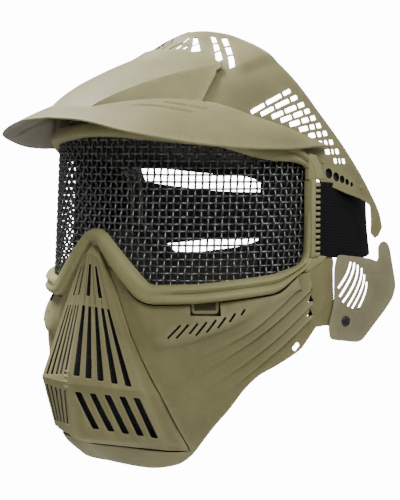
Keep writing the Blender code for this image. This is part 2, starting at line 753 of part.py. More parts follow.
def mask_holes():
    """Cheek vents, the openings at the ribs' ends, the strap hole and the stud's hole."""
    loops = []
    for angle0, drop0, angle1, drop1 in VENTS:
        loops.append(bar(at_angle(angle0, -CHIN_DROP * drop0), at_angle(angle1, -CHIN_DROP * drop1), 0.0010, 0.0010))
    for corners in RIB_ENDS:
        loops.append([at_angle(a, -CHIN_DROP * d) for a, d in corners])
    loops.append(bar(at_angle(81.6, -0.0826), at_angle(83.4, -0.0796), 0.0026, 0.0026))
    behind = sin(EAR_FLARE) * (EAR_WALL + GAP + MASK_WALL / 2)
    hole = circle(STUD_BACK + behind, -STUD_DROP, STUD_SHANK + 2 * GAP, 8)
    loops.append([at_side(spot.x, spot.y) for spot in hole])
    return loops


def make_mask(mat):
    """Ribbed outer face and plain inner face over one flat, joined round every edge."""
    creases = []
    for early in (0.0, STEP_RUN):
        creases.append([at_side(step_start(z) - early, z) for z in (-0.042, -0.050, -0.057, -0.062, -0.067, -0.0695)])
    for rib in RIBS:
        stations = [rib[0] + (rib[4] - rib[0]) * k / 5 for k in range(1, 6)]
        creases.append([at_angle(a, rib_crest(rib, a)) for a in stations])
        creases.append([at_angle(a, rib_crest(rib, a) - RIB_BELOW) for a in stations])
    mask = sheet("lower_mask", divided(mask_outline(), 0.018), mask_holes(), 0.0125, rib_point, mat,
                 creases, inner=inner_point)
    mirror(mask)


# Breather grill

GRILL_ROWS = (
    # drop share of the flat, then the middle, edge and flank columns as (x, y, z) shares of
    # GRILL_HALF_WIDTH, GRILL_REACH and GRILL_DROP
    (0.000, (0.00, 0.785, 0.174), (0.072, 0.784, 0.189), (0.128, 0.776, 0.231)),
    (0.055, (0.00, 0.842, 0.196), (0.120, 0.826, 0.222), (0.265, 0.779, 0.338)),
    (0.380, (0.00, 0.910, 0.440), (0.400, 0.832, 0.455), (0.490, 0.780, 0.534)),
    (0.690, (0.00, 1.000, 0.724), (0.745, 0.830, 0.742), (0.790, 0.716, 0.768)),
    (0.930, (0.00, 0.942, 0.956), (0.835, 0.698, 0.968), (0.948, 0.602, 0.982)),
    (1.000, (0.00, 0.842, 0.985), (0.790, 0.662, 0.998), (0.938, 0.584, 1.000)))
GRILL_FLAT = 0.124


def grill_widths(share):
    """Flat widths of the front facet and of the flank at a share of the drop."""
    front = line([(0, 0.0055), (0.055, 0.0075), (0.69, 0.044), (0.93, 0.052), (1.0, 0.050)], share)
    flank = line([(0, 0.0060), (0.055, 0.0105), (0.38, 0.011), (0.69, 0.011), (0.93, 0.010), (1.0, 0.0075)], share)
    return front, flank


def grill_flat(across, share):
    """Flat place of a share across (0 middle, 1 edge, 2 flank) and down the grill."""
    front, flank = grill_widths(share)
    u = across * front if across <= 1 else front + (across - 1) * flank
    return Vector((u, -share * GRILL_FLAT))


def grill_node(row, index):
    x, y, z = row[index]
    return Vector((x * GRILL_HALF_WIDTH, -y * GRILL_REACH, -z * GRILL_DROP))


def grill_point(u, v, out=0.0):
    """Flat facets between the rows and columns of the grill."""
    share = min(max(-v / GRILL_FLAT, 0.0), 1.0)
    front, flank = grill_widths(share)
    across = u / front if u <= front else 1 + (u - front) / flank
    keys = [row[0] for row in GRILL_ROWS]
    i = min(max(bisect_right(keys, share) - 1, 0), len(keys) - 2)
    t = (share - keys[i]) / (keys[i + 1] - keys[i])
    left = 1 if across <= 1 else 2
    s = across if across <= 1 else across - 1
    upper = grill_node(GRILL_ROWS[i], left).lerp(grill_node(GRILL_ROWS[i], left + 1), s)
    lower = grill_node(GRILL_ROWS[i + 1], left).lerp(grill_node(GRILL_ROWS[i + 1], left + 1), s)
    return upper.lerp(lower, t)


# across at the top and bottom ends, down at the top and bottom ends, width share at top and bottom
GRILL_SLOTS = (
    (0.24, 0.22, 0.12, 0.29, 0.12, 0.12), (0.60, 0.62, 0.12, 0.29, 0.12, 0.12),
    (0.11, 0.12, 0.345, 0.655, 0.075, 0.085), (0.28, 0.29, 0.345, 0.660, 0.075, 0.085),
    (0.46, 0.46, 0.345, 0.665, 0.075, 0.085), (0.64, 0.65, 0.345, 0.670, 0.075, 0.085),
    (0.80, 0.835, 0.345, 0.675, 0.070, 0.080),
    (0.13, 0.26, 0.725, 0.882, 0.080, 0.075), (0.32, 0.43, 0.725, 0.887, 0.080, 0.075),
    (0.51, 0.59, 0.725, 0.892, 0.080, 0.075), (0.70, 0.75, 0.725, 0.897, 0.080, 0.075),
    (0.88, 0.90, 0.725, 0.902, 0.080, 0.075))


def grill_slots():
    loops = []
    for across0, across1, down0, down1, wide0, wide1 in GRILL_SLOTS:
        loops.append([grill_flat(across0 - wide0 / 2, down0), grill_flat(across1 - wide1 / 2, down1),
                      grill_flat(across1 + wide1 / 2, down1), grill_flat(across0 + wide0 / 2, down0)])
    return loops


def make_grill(mat):
    keys = [row[0] for row in GRILL_ROWS]
    flank = [grill_flat(2, s) for s in keys]
    middle = [grill_flat(0, s) for s in keys]
    outline = divided(flank + [grill_flat(1, 1.0)] + middle[::-1] + [grill_flat(1, 0.0)], 0.018)
    edge = [grill_flat(1, s) for s in keys[1:-1]]
    grill = sheet("mouth_grill", outline, grill_slots(), 0.014, grill_point, mat, [edge])
    mirror(grill)
    thicken(grill, GRILL_WALL)


# Dome of the head guard

def dome_point(across, along, out=0.0):
    """Point on the dome: across in degrees from the top to the side, along from the front (-90) to the crown."""
    a, b = radians(across), radians(along)
    ray = Vector((sin(a) * cos(b), sin(b), cos(a) * cos(b)))
    size = (abs(ray.x) ** (2 / DOME_SQUARE) + (ray.y ** 2 + ray.z ** 2) ** (1 / DOME_SQUARE)) ** (-DOME_SQUARE / 2)
    raised = BAND_RAISE * (1 - ease(33.0, 38.0, abs(across))) * ease(-28.6, -26.0, along)
    width, length, height = (d + out + raised for d in (DOME_HALF_WIDTH, DOME_LENGTH, DOME_HEIGHT))
    x = ray.x * size * width
    return Vector((x, DOME_BACK + ray.y * size * length, ray.z * size * height - DOME_LOW - dome_drop(x)))


def dome_drop(x):
    """The dome falls away faster beside its middle."""
    return DOME_DROP * sin(pi * min(abs(x) / DOME_DROP_END, 1.0)) ** 2


def dome_height(x, y, out=0.0):
    """Height of the dome over a place in plan, or nothing beside it."""
    qx = abs(x) / (DOME_HALF_WIDTH + out)
    qy = (y - DOME_BACK) / (DOME_LENGTH + out)
    room = max(0.0, 1 - qx ** (2 / DOME_SQUARE)) ** DOME_SQUARE - qy ** 2
    return (DOME_HEIGHT + out) * sqrt(room) - DOME_LOW - dome_drop(x) if room > 0 else -1.0


ACROSS = 0.0021
ALONG = 0.0030


def dome_flat(across, along):
    return Vector((across * ACROSS, along * ALONG))


def guard_place(u, v):
    return dome_point(u / ACROSS, v / ALONG)


GUARD_REAR = (
    # across and along, in degrees
    (0, -23.3), (4.0, -22.3), (8.6, -20.9), (14.3, -19.2), (22.3, -18.8), (31.6, -19.0), (36, -18.5), (41, -17.8),
    (48.7, -16.2), (54, -14.9), (59.4, -12.9), (66.6, -9.5), (74.8, -5.3), (80.8, -2.3), (84.6, -1.4))
GUARD_TAIL = ((86.6, -2.7), (87.0, -4.0), (85.8, -5.2))
GUARD_FRONT = (
    (82.0, -5.0), (79.2, -5.1), (77.6, -6.3), (75.7, -7.9), (73.5, -11.9), (71.8, -15.2), (69.3, -18.6),
    (66.0, -18.9), (63.0, -18.9))
BROW_STATIONS = (58, 50, 40, 30, 20, 10, 0)
BROW_GAP = 0.0036
GUARD_ROWS = (
    # across at the front and rear ends, then along at the front end, two bars and the rear end, in degrees
    (51.4, 48.3, -30.1, -26.3, -21.7, -19.4), (52.9, 50.5, -28.2, -24.6, -20.5, -18.5),
    (54.5, 52.9, -26.0, -22.9, -19.4, -17.6), (56.1, 54.9, -24.3, -21.3, -18.4, -16.8),
    (57.7, 57.0, -22.6, -19.8, -17.5, -16.0), (59.5, 59.2, -20.7, -18.3, -16.6, -15.2),
    (61.5, 61.4, -18.9, -17.0, -15.5, -14.2), (63.7, 63.8, -17.3, -15.7, -14.4, -13.2),
    (66.0, 66.2, -15.7, -14.3, -13.3, -12.2), (68.4, 68.7, -13.9, -12.9, -12.0, -11.0))
ROW_HIGH = 1.25
BAR = 0.30
FAN = (
    # front and rear ends (across, along) in degrees, width in degrees at both, cells
    (2.3, -32.1, 4.2, -26.6, 0.8, 0.6, 1), (5.3, -31.3, 5.0, -29.5, 0.8, 0.5, 1),
    (7.9, -30.5, 7.9, -29.0, 1.0, 0.6, 1), (13.1, -29.5, 6.4, -26.0, 3.3, 1.1, 2),
    (24.8, -28.3, 10.6, -23.0, 2.0, 1.3, 3), (32.0, -28.0, 14.1, -21.6, 1.6, 1.7, 3))
BAND_HOLES = ((70.7, -15.8, 0.0026), (71.7, -14.0, 0.0023), (72.4, -12.5, 0.0019), (73.1, -11.2, 0.0015),
              (73.8, -10.0, 0.0011))


def brow_edge(across):
    """Where the dome comes down to just above the frame's top edge."""
    tops = []
    for point, normal in zip(WINDOW, half_normals(WINDOW)):
        if normal.y > 0.3:
            edge = point + normal * frame_width(point.x, point.y)
            tops.append((edge.x, edge.y))
    low, high = -70.0, -18.0
    for _ in range(30):
        along = (low + high) / 2
        spot = dome_point(across, along)
        reach = atan2(spot.x, -spot.y) * LENS_ARC
        if spot.z < line(tops, reach) + BROW_GAP:
            low = along
        else:
            high = along
    return (across, high)


def guard_holes():
    loops = []
    for across0, across1, *cuts in GUARD_ROWS:
        span = cuts[-1] - cuts[0]
        for start, stop in zip(cuts, cuts[1:]):
            start, stop = start + BAR * (start > cuts[0]), stop - BAR * (stop < cuts[-1])
            a0 = across0 + (across1 - across0) * (start - cuts[0]) / span
            a1 = across0 + (across1 - across0) * (stop - cuts[0]) / span
            loops.append([dome_flat(a0, start), dome_flat(a1, stop),
                          dome_flat(a1 - ROW_HIGH, stop), dome_flat(a0 - ROW_HIGH, start)])
    for a0, b0, a1, b1, wide0, wide1, cells in FAN:
        front, rear = dome_flat(a0, b0), dome_flat(a1, b1)
        for k in range(cells):
            s0, s1 = k / cells + (0.03 if k else 0), (k + 1) / cells - (0.03 if k < cells - 1 else 0)
            w0 = (wide0 + (wide1 - wide0) * s0) * ACROSS
            w1 = (wide0 + (wide1 - wide0) * s1) * ACROSS
            loops.append(bar(front.lerp(rear, s0), front.lerp(rear, s1), w0, w1))
    for across, along, radius in BAND_HOLES:
        loops.append(circle(across * ACROSS, along * ALONG, radius, 8))
    return loops


def make_guard(mat):
    brow = [brow_edge(across) for across in BROW_STATIONS]
    border = [dome_flat(*p) for p in GUARD_REAR + GUARD_TAIL + GUARD_FRONT] + [dome_flat(*p) for p in brow]
    outline = divided(border, 0.016)
    band = [dome_flat(a, b) for a, b in ((35.5, -19.6), (35.5, -24), (35.5, -29), (37, -33))]
    guard = sheet("head_guard", outline, guard_holes(), 0.0140, guard_place, mat, [band])
    mirror(guard)
    thicken(guard, GUARD_WALL)


# Visor: heights over the plan

VISOR_OUT = VISOR_WALL + 0.0005
VISOR_SIDE = LENS_HALF_WIDTH + FRAME_PROUD + 0.0020
BRIM = (
    # bearing in degrees, share of the reach from VISOR_SIDE out to BRIM_REACH, height as a share of BRIM_HEIGHT
    (0, 1.000, 1.000), (12, 1.017, 0.960), (24.6, 0.992, 0.830), (39.7, 0.595, 0.712), (56.5, 0.327, 0.645),
    (75, 0.148, 0.636), (88, 0.000, 0.660), (102, -0.128, 0.672))
HOOD_END = (
    # rear edge of the hood and the seam down to the valley: across and along, in degrees
    (0, -34.0), (6.1, -33.5), (10.8, -31.8), (16.4, -29.9), (20.3, -29.4), (25.0, -29.3), (28.7, -29.4),
    (31.0, -30.2), (31.4, -31.8), (33.1, -32.7), (36.8, -35.8))
WING = (
    # valley between the wing and the dome: across and along, in degrees
    (40.6, -38.8), (46.5, -35.0), (52.3, -30.6), (58.0, -24.2), (63.5, -16.9), (64.6, -15.0))
INNER_FRONT = 0.0720
INNER_HEIGHT = 0.0620


def valley():
    """Bearing, reach and height of the wing's inner border."""
    rows = [(0.0, INNER_FRONT, INNER_HEIGHT), (25.0, INNER_FRONT, INNER_HEIGHT - 0.0020)]
    for across, along in WING:
        spot = dome_point(across, along, VISOR_OUT)
        rows.append((degrees(atan2(spot.x, -spot.y)), hypot(spot.x, spot.y), spot.z))
    return rows


VALLEY = valley()


def brim_reach(bearing):
    return VISOR_SIDE + (BRIM_REACH - VISOR_SIDE) * curve([(row[0], row[1]) for row in BRIM], bearing)


def wing_height(x, y):
    """Brim and wings: from the rim up to the valley at the dome."""
    bearing = degrees(atan2(x, -y))
    rim = brim_reach(bearing)
    rim_height = BRIM_HEIGHT * curve([(row[0], row[2]) for row in BRIM], bearing)
    root = curve([(row[0], row[1]) for row in VALLEY], bearing)
    root_height = curve([(row[0], row[2]) for row in VALLEY], bearing)
    share = max(0.0, min(1.0, (rim - hypot(x, y)) / max(rim - root, 1e-4)))
    bulge = 0.35 + 0.45 * ease(58, 74, bearing)
    return rim_height + (root_height - rim_height) * (share + bulge * share * (1 - share))


def hood_edges(y):
    """Half widths of the hood's top and of its foot, at a place fore and aft."""
    along = (y + HOOD_FRONT) / (HOOD_FRONT - HOOD_REAR)
    top = HOOD_FRONT_HALF + (HOOD_REAR_HALF - HOOD_FRONT_HALF) * along
    foot = line([(-HOOD_FRONT, HOOD_FRONT_HALF), (-HOOD_FOOT_AT, HOOD_FOOT), (-HOOD_REAR, HOOD_CORNER)], y)
    return top, foot, along


def visor_height(x, y):
    top, foot, along = hood_edges(y)
    height = wing_height(x, y)
    if 0 < along < 1.08 and abs(x) < foot:
        low = wing_height(HOOD_FRONT_HALF, -HOOD_FRONT)
        ridge = low + (HOOD_SHOULDER - low) * along ** 0.8 + HOOD_BULGE * max(0.0, sin(pi * along))
        crown = ridge + HOOD_CROWN * (0.13 + 0.87 * along)
        base = max(wing_height(foot, y), dome_height(foot, y, VISOR_OUT))
        if abs(x) <= top:
            height = crown + (ridge - crown) * (x / top) ** 2
        else:
            height = ridge + (base - ridge) * (abs(x) - top) / (foot - top)
    return max(height, dome_height(x, y, VISOR_OUT))


def visor_place(u, v):
    return Vector((u, v, visor_height(u, v)))


def make_visor(mat):
    inner = []
    for across, along in HOOD_END + WING:
        spot = dome_point(across, along, VISOR_OUT)
        inner.append(Vector((spot.x, spot.y)))
    rim = []
    for bearing in (101, 95, 88, 82, 75, 68, 62, 56.5, 50, 44, 39.7, 35, 30, 24.6, 18, 12, 6, 0):
        reach = brim_reach(bearing)
        rim.append(Vector((reach * sin(radians(bearing)), -reach * cos(radians(bearing)))))
    rim[-1].x = 0.0
    shoulder, foot = [], []
    for k in range(6):
        y = -HOOD_FRONT + (HOOD_FRONT - HOOD_REAR - 0.004) * k / 5
        shoulder.append(Vector((hood_edges(y)[0], y)))
        y = -HOOD_FRONT + (HOOD_FRONT - HOOD_FOOT_AT - 0.003) * k / 5
        foot.append(Vector((hood_edges(y)[1], y)))
    visor = sheet("visor", divided(inner + rim, 0.016), [], 0.0125, visor_place, mat, [shoulder, foot])
    mirror(visor)
    thicken(visor, VISOR_WALL)


# Ear guards

EAR_OUTLINE = (
    # y and z as shares of EAR_LENGTH from EAR_MIDDLE's front edge and of EAR_HEIGHT down from the hook
    (0.135, 0.110), (0.600, 0.165), (0.725, 0.205), (0.720, 0.055), (0.760, 0.010), (0.815, 0.000),
    (0.865, 0.025), (0.900, 0.080), (0.985, 0.420), (0.985, 0.480), (0.950, 0.575), (0.840, 0.690),
    (0.480, 1.000), (0.040, 0.940), (0.020, 0.800), (0.095, 0.590), (0.095, 0.250))
EAR_FRONT_Y = 0.0110
EAR_TOP_Z = -0.0240
EAR_SLOTS = (
    # upper, middle and lower points of each slot, as in EAR_OUTLINE, then its width
    ((0.327, 0.193), (0.280, 0.306), (0.158, 0.439), 0.0018),
    ((0.379, 0.198), (0.337, 0.335), (0.178, 0.525), 0.0018),
    ((0.432, 0.226), (0.387, 0.397), (0.221, 0.583), 0.0017),
    ((0.487, 0.260), (0.450, 0.419), (0.292, 0.626), 0.0015),
    ((0.525, 0.325), (0.490, 0.467), (0.355, 0.650), 0.0015),
    ((0.560, 0.400), (0.535, 0.515), (0.442, 0.655), 0.0014))


def ear_flat(along, down):
    return Vector((EAR_FRONT_Y + along * EAR_LENGTH, EAR_TOP_Z - down * EAR_HEIGHT))


def ear_place(u, v):
    return Vector((ear_x(u), u, v))


def ear_slot(slot, steps=4):
    """A slot of even width along the curve through its upper, middle and lower points."""
    upper, middle, lower = (ear_flat(*p) for p in slot[:3])
    bend = middle * 2 - (upper + lower) / 2
    left, right = [], []
    for k in range(steps + 1):
        t = k / steps
        spot = upper * (1 - t) ** 2 + bend * (2 * t * (1 - t)) + lower * t ** 2
        along = ((bend - upper) * (1 - t) + (lower - bend) * t).normalized()
        side = Vector((-along.y, along.x)) * slot[3] / 2
        left.append(spot + side)
        right.append(spot - side)
    return left + right[::-1]


def make_ear_guard(side, mat):
    outline = divided([ear_flat(*p) for p in EAR_OUTLINE], 0.020)
    slots = [ear_slot(slot) for slot in EAR_SLOTS]
    hole = circle(STUD_BACK, -STUD_DROP, STUD_SHANK + GAP, 10)
    guard = sheet("ear_guard_" + side, outline, slots + [hole], 0.018, ear_place, mat)
    thicken(guard, EAR_WALL)
    if side == "right":
        guard.data.transform(MIRROR_X)
        guard.data.flip_normals()


def make_stud(side, mat):
    """Rivet through the ear guard and the mask's flange, turned round the guard's normal."""
    grip = EAR_WALL + GAP + MASK_WALL + GAP
    profile = [(0.0, STUD_HEAD + GAP), (STUD_RADIUS * 0.6, STUD_HEAD + GAP), (STUD_RADIUS, STUD_HEAD * 0.5 + GAP),
               (STUD_RADIUS, GAP), (STUD_SHANK - GAP, GAP), (STUD_SHANK - GAP, -grip), (STUD_RADIUS, -grip),
               (STUD_RADIUS, -grip - STUD_HEAD), (0.0, -grip - STUD_HEAD)]
    mesh = bpy.data.meshes.new("ear_stud_" + side)
    mesh.from_pydata([(r, 0, z) for r, z in profile], [(i, i + 1) for i in range(len(profile) - 1)], [])
    stud = new_object("ear_stud_" + side, mesh, mat)
    turn = stud.modifiers.new("turned", "SCREW")
    turn.steps = 12
    turn.render_steps = 12
    turn.use_merge_vertices = True
    turn.merge_threshold = 0.00005
    hand = 1 if side == "left" else -1
    stud.location = (hand * ear_x(STUD_BACK), STUD_BACK, -STUD_DROP)
    normal = Vector((hand * cos(EAR_FLARE), -sin(EAR_FLARE), 0))
    stud.rotation_mode = "QUATERNION"
    stud.rotation_quaternion = normal.to_track_quat("Z", "Y")


# Collections and materials

for old in list(bpy.data.objects):
    bpy.data.objects.remove(old, do_unlink=True)
PARTS = bpy.data.collections.new("airsoft_full_face_mask")
CUTTERS = bpy.data.collections.new("cutters")
bpy.context.scene.collection.children.link(PARTS)
bpy.context.scene.collection.children.link(CUTTERS)

TAN = material("tan plastic", (0.42, 0.38, 0.24), 0.55)
OLIVE = material("olive frame plastic", (0.30, 0.27, 0.12), 0.45)
GREY_TAN = material("grey tan plastic", (0.31, 0.27, 0.18), 0.55)
WIRE = material("black wire", (0.05, 0.05, 0.05), 0.40, 0.8)
FOAM = material("black foam", (0.02, 0.02, 0.02), 0.95)
ELASTIC = material("black elastic", (0.02, 0.02, 0.025), 0.85)
BLACK = material("black rivet", (0.02, 0.02, 0.02), 0.40)

make_frame(OLIVE)
make_lens(WIRE)
make_pad(FOAM)
make_guard(TAN)
make_visor(TAN)
make_grill(TAN)
make_mask(TAN)
make_strap(ELASTIC)
for hand in ("left", "right"):
    make_ear_guard(hand, GREY_TAN)
    make_stud(hand, BLACK)
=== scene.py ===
# %% [markdown]
# # A full face mask, worn: wire goggle, ribbed lower mask, slotted head guard and visor
#
# The imported CAD model is the fixed frame. Every visible shell is made again here
# with finer faces, softened edges and a finish, in the same place. A few edges and folds
# differ from the plain solids by some millimetres, where the photograph asks for it.
# Everything is in metres, +X is the wearer's left, -Y is forward and +Z is up.

# %% Load the imported model and keep its box
import bpy
import bmesh
from bisect import bisect_right
from math import acos, atan2, ceil, cos, degrees, hypot, pi, radians, sin, sqrt, tan
from mathutils import Matrix, Vector
from mathutils.kdtree import KDTree


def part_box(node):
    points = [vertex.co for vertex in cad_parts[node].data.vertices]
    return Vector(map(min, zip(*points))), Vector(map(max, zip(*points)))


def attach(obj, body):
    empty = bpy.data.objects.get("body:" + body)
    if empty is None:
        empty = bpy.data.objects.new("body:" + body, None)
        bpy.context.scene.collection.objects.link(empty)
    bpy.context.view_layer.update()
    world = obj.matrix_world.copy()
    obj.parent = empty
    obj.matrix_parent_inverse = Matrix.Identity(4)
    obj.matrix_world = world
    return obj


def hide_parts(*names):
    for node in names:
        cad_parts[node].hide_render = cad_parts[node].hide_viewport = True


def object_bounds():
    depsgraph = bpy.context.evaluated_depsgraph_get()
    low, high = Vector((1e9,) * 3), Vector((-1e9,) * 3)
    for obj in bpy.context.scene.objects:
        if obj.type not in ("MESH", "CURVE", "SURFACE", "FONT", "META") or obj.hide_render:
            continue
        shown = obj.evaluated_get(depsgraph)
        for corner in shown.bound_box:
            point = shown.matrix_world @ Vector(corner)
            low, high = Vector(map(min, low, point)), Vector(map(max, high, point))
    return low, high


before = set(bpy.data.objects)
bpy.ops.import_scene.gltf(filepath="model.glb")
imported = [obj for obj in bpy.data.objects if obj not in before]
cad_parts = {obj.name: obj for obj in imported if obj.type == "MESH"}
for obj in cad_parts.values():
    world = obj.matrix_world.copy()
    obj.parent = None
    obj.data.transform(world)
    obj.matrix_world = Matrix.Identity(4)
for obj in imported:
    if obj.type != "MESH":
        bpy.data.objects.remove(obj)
CAD_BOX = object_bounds()
print("nodes:", ", ".join(sorted(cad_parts)))
print("size in mm:", [round(1000 * side, 1) for side in CAD_BOX[1] - CAD_BOX[0]])

# %% [markdown]
# ## Camera, floor and light
#
# The photograph looks at the wearer's front left, from just above eye level and through a fairly
# long lens. A camera could be turned by typed angles, but aiming it from one point to another
# says the same thing in the frame's own metres, so that is what is done.

# %% The camera
EYE = Vector((0.6019, -0.6684, 0.0314))
AIM = Vector((0.0021, 0.0004, -0.0312))
LENS_MM, SENSOR_MM = 108, 36

camera = bpy.data.objects.new("camera", bpy.data.cameras.new("camera"))
camera.data.lens, camera.data.sensor_width = LENS_MM, SENSOR_MM
camera.location = EYE
camera.rotation_euler = (AIM - EYE).to_track_quat("-Z", "Y").to_euler()
bpy.context.scene.collection.objects.link(camera)
bpy.context.scene.camera = camera
print("camera stands", round((AIM - EYE).length, 3), "m away")

# %% [markdown]
# The mask is held by the head, so it doesn't rest on anything. The floor is a pale round plate well
# below it that throws a little light back up. The air all round shows as plain white, but lights
# the mask much more gently than it looks, as a lit paper screen does: one plain background alone
# would either be grey or wash the plastic out. Three soft lamps add the direction: a strong one
# overhead, one at the open side and one behind.

# %% Helpers for node trees, and the floor
FLOOR_DROP = 0.30
FLOOR_RADIUS = 0.55


def node(tree, kind, **values):
    """A new shader node with its settings."""
    made = tree.nodes.new("ShaderNode" + kind)
    for key, value in values.items():
        setattr(made, key, value)
    return made


def put(target, **numbers):
    """Sets plain numbers on a node's sockets; an underscore in a name stands for a space."""
    for name, value in numbers.items():
        target.inputs[name.replace("_", " ")].default_value = value


def blank(name):
    """A new material, its tree and its shader."""
    made = bpy.data.materials.new(name)
    made.use_nodes = True
    return made, made.node_tree, made.node_tree.nodes["Principled BSDF"]


bm = bmesh.new()
bmesh.ops.create_circle(bm, cap_ends=True, segments=96, radius=FLOOR_RADIUS)
bmesh.ops.translate(bm, verts=bm.verts[:], vec=(0, 0, CAD_BOX[0].z - FLOOR_DROP))
floor_mesh = bpy.data.meshes.new("floor")
bm.to_mesh(floor_mesh)
bm.free()
floor = bpy.data.objects.new("floor", floor_mesh)
floor_finish, _, shader = blank("pale floor")
put(shader, Base_Color=(0.60, 0.60, 0.59, 1), Roughness=0.9)
floor_mesh.materials.append(floor_finish)
bpy.context.scene.collection.objects.link(floor)
print("floor: a plate of radius", FLOOR_RADIUS, "m,", FLOOR_DROP, "m below the mask")

# %% Air and lamps
SKY_GLOW = 0.58
PAPER_GLOW = 14.0

air = bpy.data.worlds.new("white air")
air.use_nodes = True
tree = air.node_tree
glow, height, dusk = tree.nodes["Background"], node(tree, "SeparateXYZ"), node(tree, "MapRange")
paper, either = node(tree, "Background"), node(tree, "MixShader")
put(glow, Strength=1.0)
put(dusk, From_Min=-1, From_Max=1, To_Min=0.0, To_Max=SKY_GLOW)
put(paper, Color=(1, 1, 1, 1), Strength=PAPER_GLOW)
for source, target in (
        (node(tree, "TexCoord").outputs["Generated"], height.inputs["Vector"]),
        (height.outputs["Z"], dusk.inputs["Value"]),
        (dusk.outputs["Result"], glow.inputs["Color"]),
        (node(tree, "LightPath").outputs["Is Camera Ray"], either.inputs["Fac"]),
        (glow.outputs["Background"], either.inputs[1]),
        (paper.outputs["Background"], either.inputs[2]),
        (either.outputs["Shader"], tree.nodes["World Output"].inputs["Surface"])):
    tree.links.new(source, target)
bpy.context.scene.world = air


def lamp(name, place, size, watts):
    """A square soft light that faces the mask."""
    light = bpy.data.objects.new(name, bpy.data.lights.new(name, "AREA"))
    light.data.shape = "SQUARE"
    light.data.size = size
    light.data.energy = watts
    light.location = place
    light.rotation_euler = (AIM - Vector(place)).to_track_quat("-Z", "Y").to_euler()
    bpy.context.scene.collection.objects.link(light)


lamp("overhead", (-0.66, -0.12, 1.04), size=0.45, watts=32)
lamp("open side", (0.95, -0.45, 0.75), size=0.50, watts=8)
lamp("behind", (0.60, 0.90, 0.60), size=0.60, watts=2)
print("lamps:", ", ".join(light.name for light in bpy.data.lights))

# %% [markdown]
# ## Finishes
#
# Moulded plastic has a fine leathery grain, a tint that wanders a little, and edges that are
# rubbed lighter; that lighter edge is also a painted highlight, and the hollows are darkened as
# painted shade. One flat colour would look like paint in air. Noise textures on Object
# coordinates give the tint and the grain, and Pointiness finds the edges and the hollows. Each
# recipe is built by the same few lines, so the tan, the olive and the grey tan stay a family.

# %% Textures and ramps


def noise(tree, coords, scale, detail):
    made = node(tree, "TexNoise")
    put(made, Scale=scale, Detail=detail)
    tree.links.new(coords, made.inputs["Vector"])
    return made.outputs["Fac"]


def ramp(tree, source, stops):
    """A colour ramp from (place, grey or colour) stops."""
    made = node(tree, "ValToRGB")
    for stop, (at, colour) in zip(made.color_ramp.elements, stops):
        stop.position = at
        stop.color = (*colour, 1) if hasattr(colour, "__len__") else (colour, colour, colour, 1)
    tree.links.new(source, made.inputs["Fac"])
    return made.outputs["Color"]


# %% Mixes, bumps and the shader's links


def mixed(tree, factor, first, second, kind="MIX"):
    """Mixes two colours; each may be a socket or a fixed colour."""
    made = node(tree, "Mix", data_type="RGBA", blend_type=kind)
    for name, value in (("Factor", factor), ("A", first), ("B", second)):
        socket = next(s for s in made.inputs if s.name == name and s.enabled)
        if isinstance(value, bpy.types.NodeSocket):
            tree.links.new(value, socket)
        else:
            socket.default_value = value if name == "Factor" else (*value, 1)
    return next(s for s in made.outputs if s.enabled)


def bumped(tree, height, strength, depth, under=None):
    made = node(tree, "Bump")
    put(made, Strength=strength, Distance=depth)
    tree.links.new(height, made.inputs["Height"])
    if under is not None:
        tree.links.new(under, made.inputs["Normal"])
    return made.outputs["Normal"]


def dress(tree, shader, colour, normal, gloss=None, **numbers):
    """Links what the textures steer to the shader and sets the rest as plain numbers."""
    tree.links.new(colour, shader.inputs["Base Color"])
    tree.links.new(normal, shader.inputs["Normal"])
    if gloss is not None:
        tree.links.new(gloss, shader.inputs["Roughness"])
    put(shader, **numbers)


# %% Moulded plastic


def plastic(name, colour, rubbed_and_highlit, roughness, wear_and_highlight=0.5):
    """Grained plastic: wandering tint, edges lighter as rubbed wear and a painted highlight, hollows
    darker as painted shade.
    """
    made, tree, shader = blank(name)
    coords = node(tree, "TexCoord").outputs["Object"]
    wander = noise(tree, coords, 38, 4)
    deep = tuple(0.86 * c for c in colour)
    light = tuple(min(1.0, 1.10 * c) for c in colour)
    tint = ramp(tree, wander, [(0.30, deep), (0.70, light)])
    dust = ramp(tree, noise(tree, coords, 900, 2), [(0.35, 0.93), (0.70, 1.05)])
    dusty = mixed(tree, 1.0, tint, dust, "MULTIPLY")
    sharp = node(tree, "NewGeometry").outputs["Pointiness"]
    # edges are mixed towards the lighter colour: rubbed wear and a painted highlight
    worn_and_highlit = mixed(tree, ramp(tree, sharp, [(0.505, 0.0), (0.56, wear_and_highlight)]), dusty, rubbed_and_highlit)
    # hollows are darkened: painted shade
    hollow_shade = ramp(tree, sharp, [(0.42, 0.72), (0.495, 1.0)])
    gloss = ramp(tree, wander, [(0.25, roughness - 0.06), (0.75, roughness + 0.08)])
    fine = bumped(tree, noise(tree, coords, 1500, 3), 0.30, 0.00018)
    waves = bumped(tree, noise(tree, coords, 260, 2), 0.10, 0.0006, fine)
    dress(tree, shader, mixed(tree, 1.0, worn_and_highlit, hollow_shade, "MULTIPLY"), waves, gloss,
          IOR=1.48, Specular_IOR_Level=0.36)
    return made


TAN = plastic("tan plastic", (0.255, 0.232, 0.105), (0.40, 0.370, 0.200), 0.56)
OLIVE = plastic("olive plastic", (0.350, 0.330, 0.148), (0.40, 0.38, 0.20), 0.42, 0.35)
GREY_TAN = plastic("grey tan plastic", (0.290, 0.262, 0.155), (0.38, 0.35, 0.23), 0.55)
# near black on the inside faces of the shells: painted shade for the dark inside them
INNER_SHADE = plastic("inner painted shade plastic", (0.030, 0.027, 0.016), (0.05, 0.045, 0.03), 0.65, 0.2)
UNDERSIDE = plastic("grey underside plastic", (0.360, 0.330, 0.280), (0.42, 0.39, 0.33), 0.60, 0.2)
SHADED_OLIVE = plastic("shaded olive plastic", (0.130, 0.120, 0.052), (0.20, 0.19, 0.10), 0.50, 0.3)
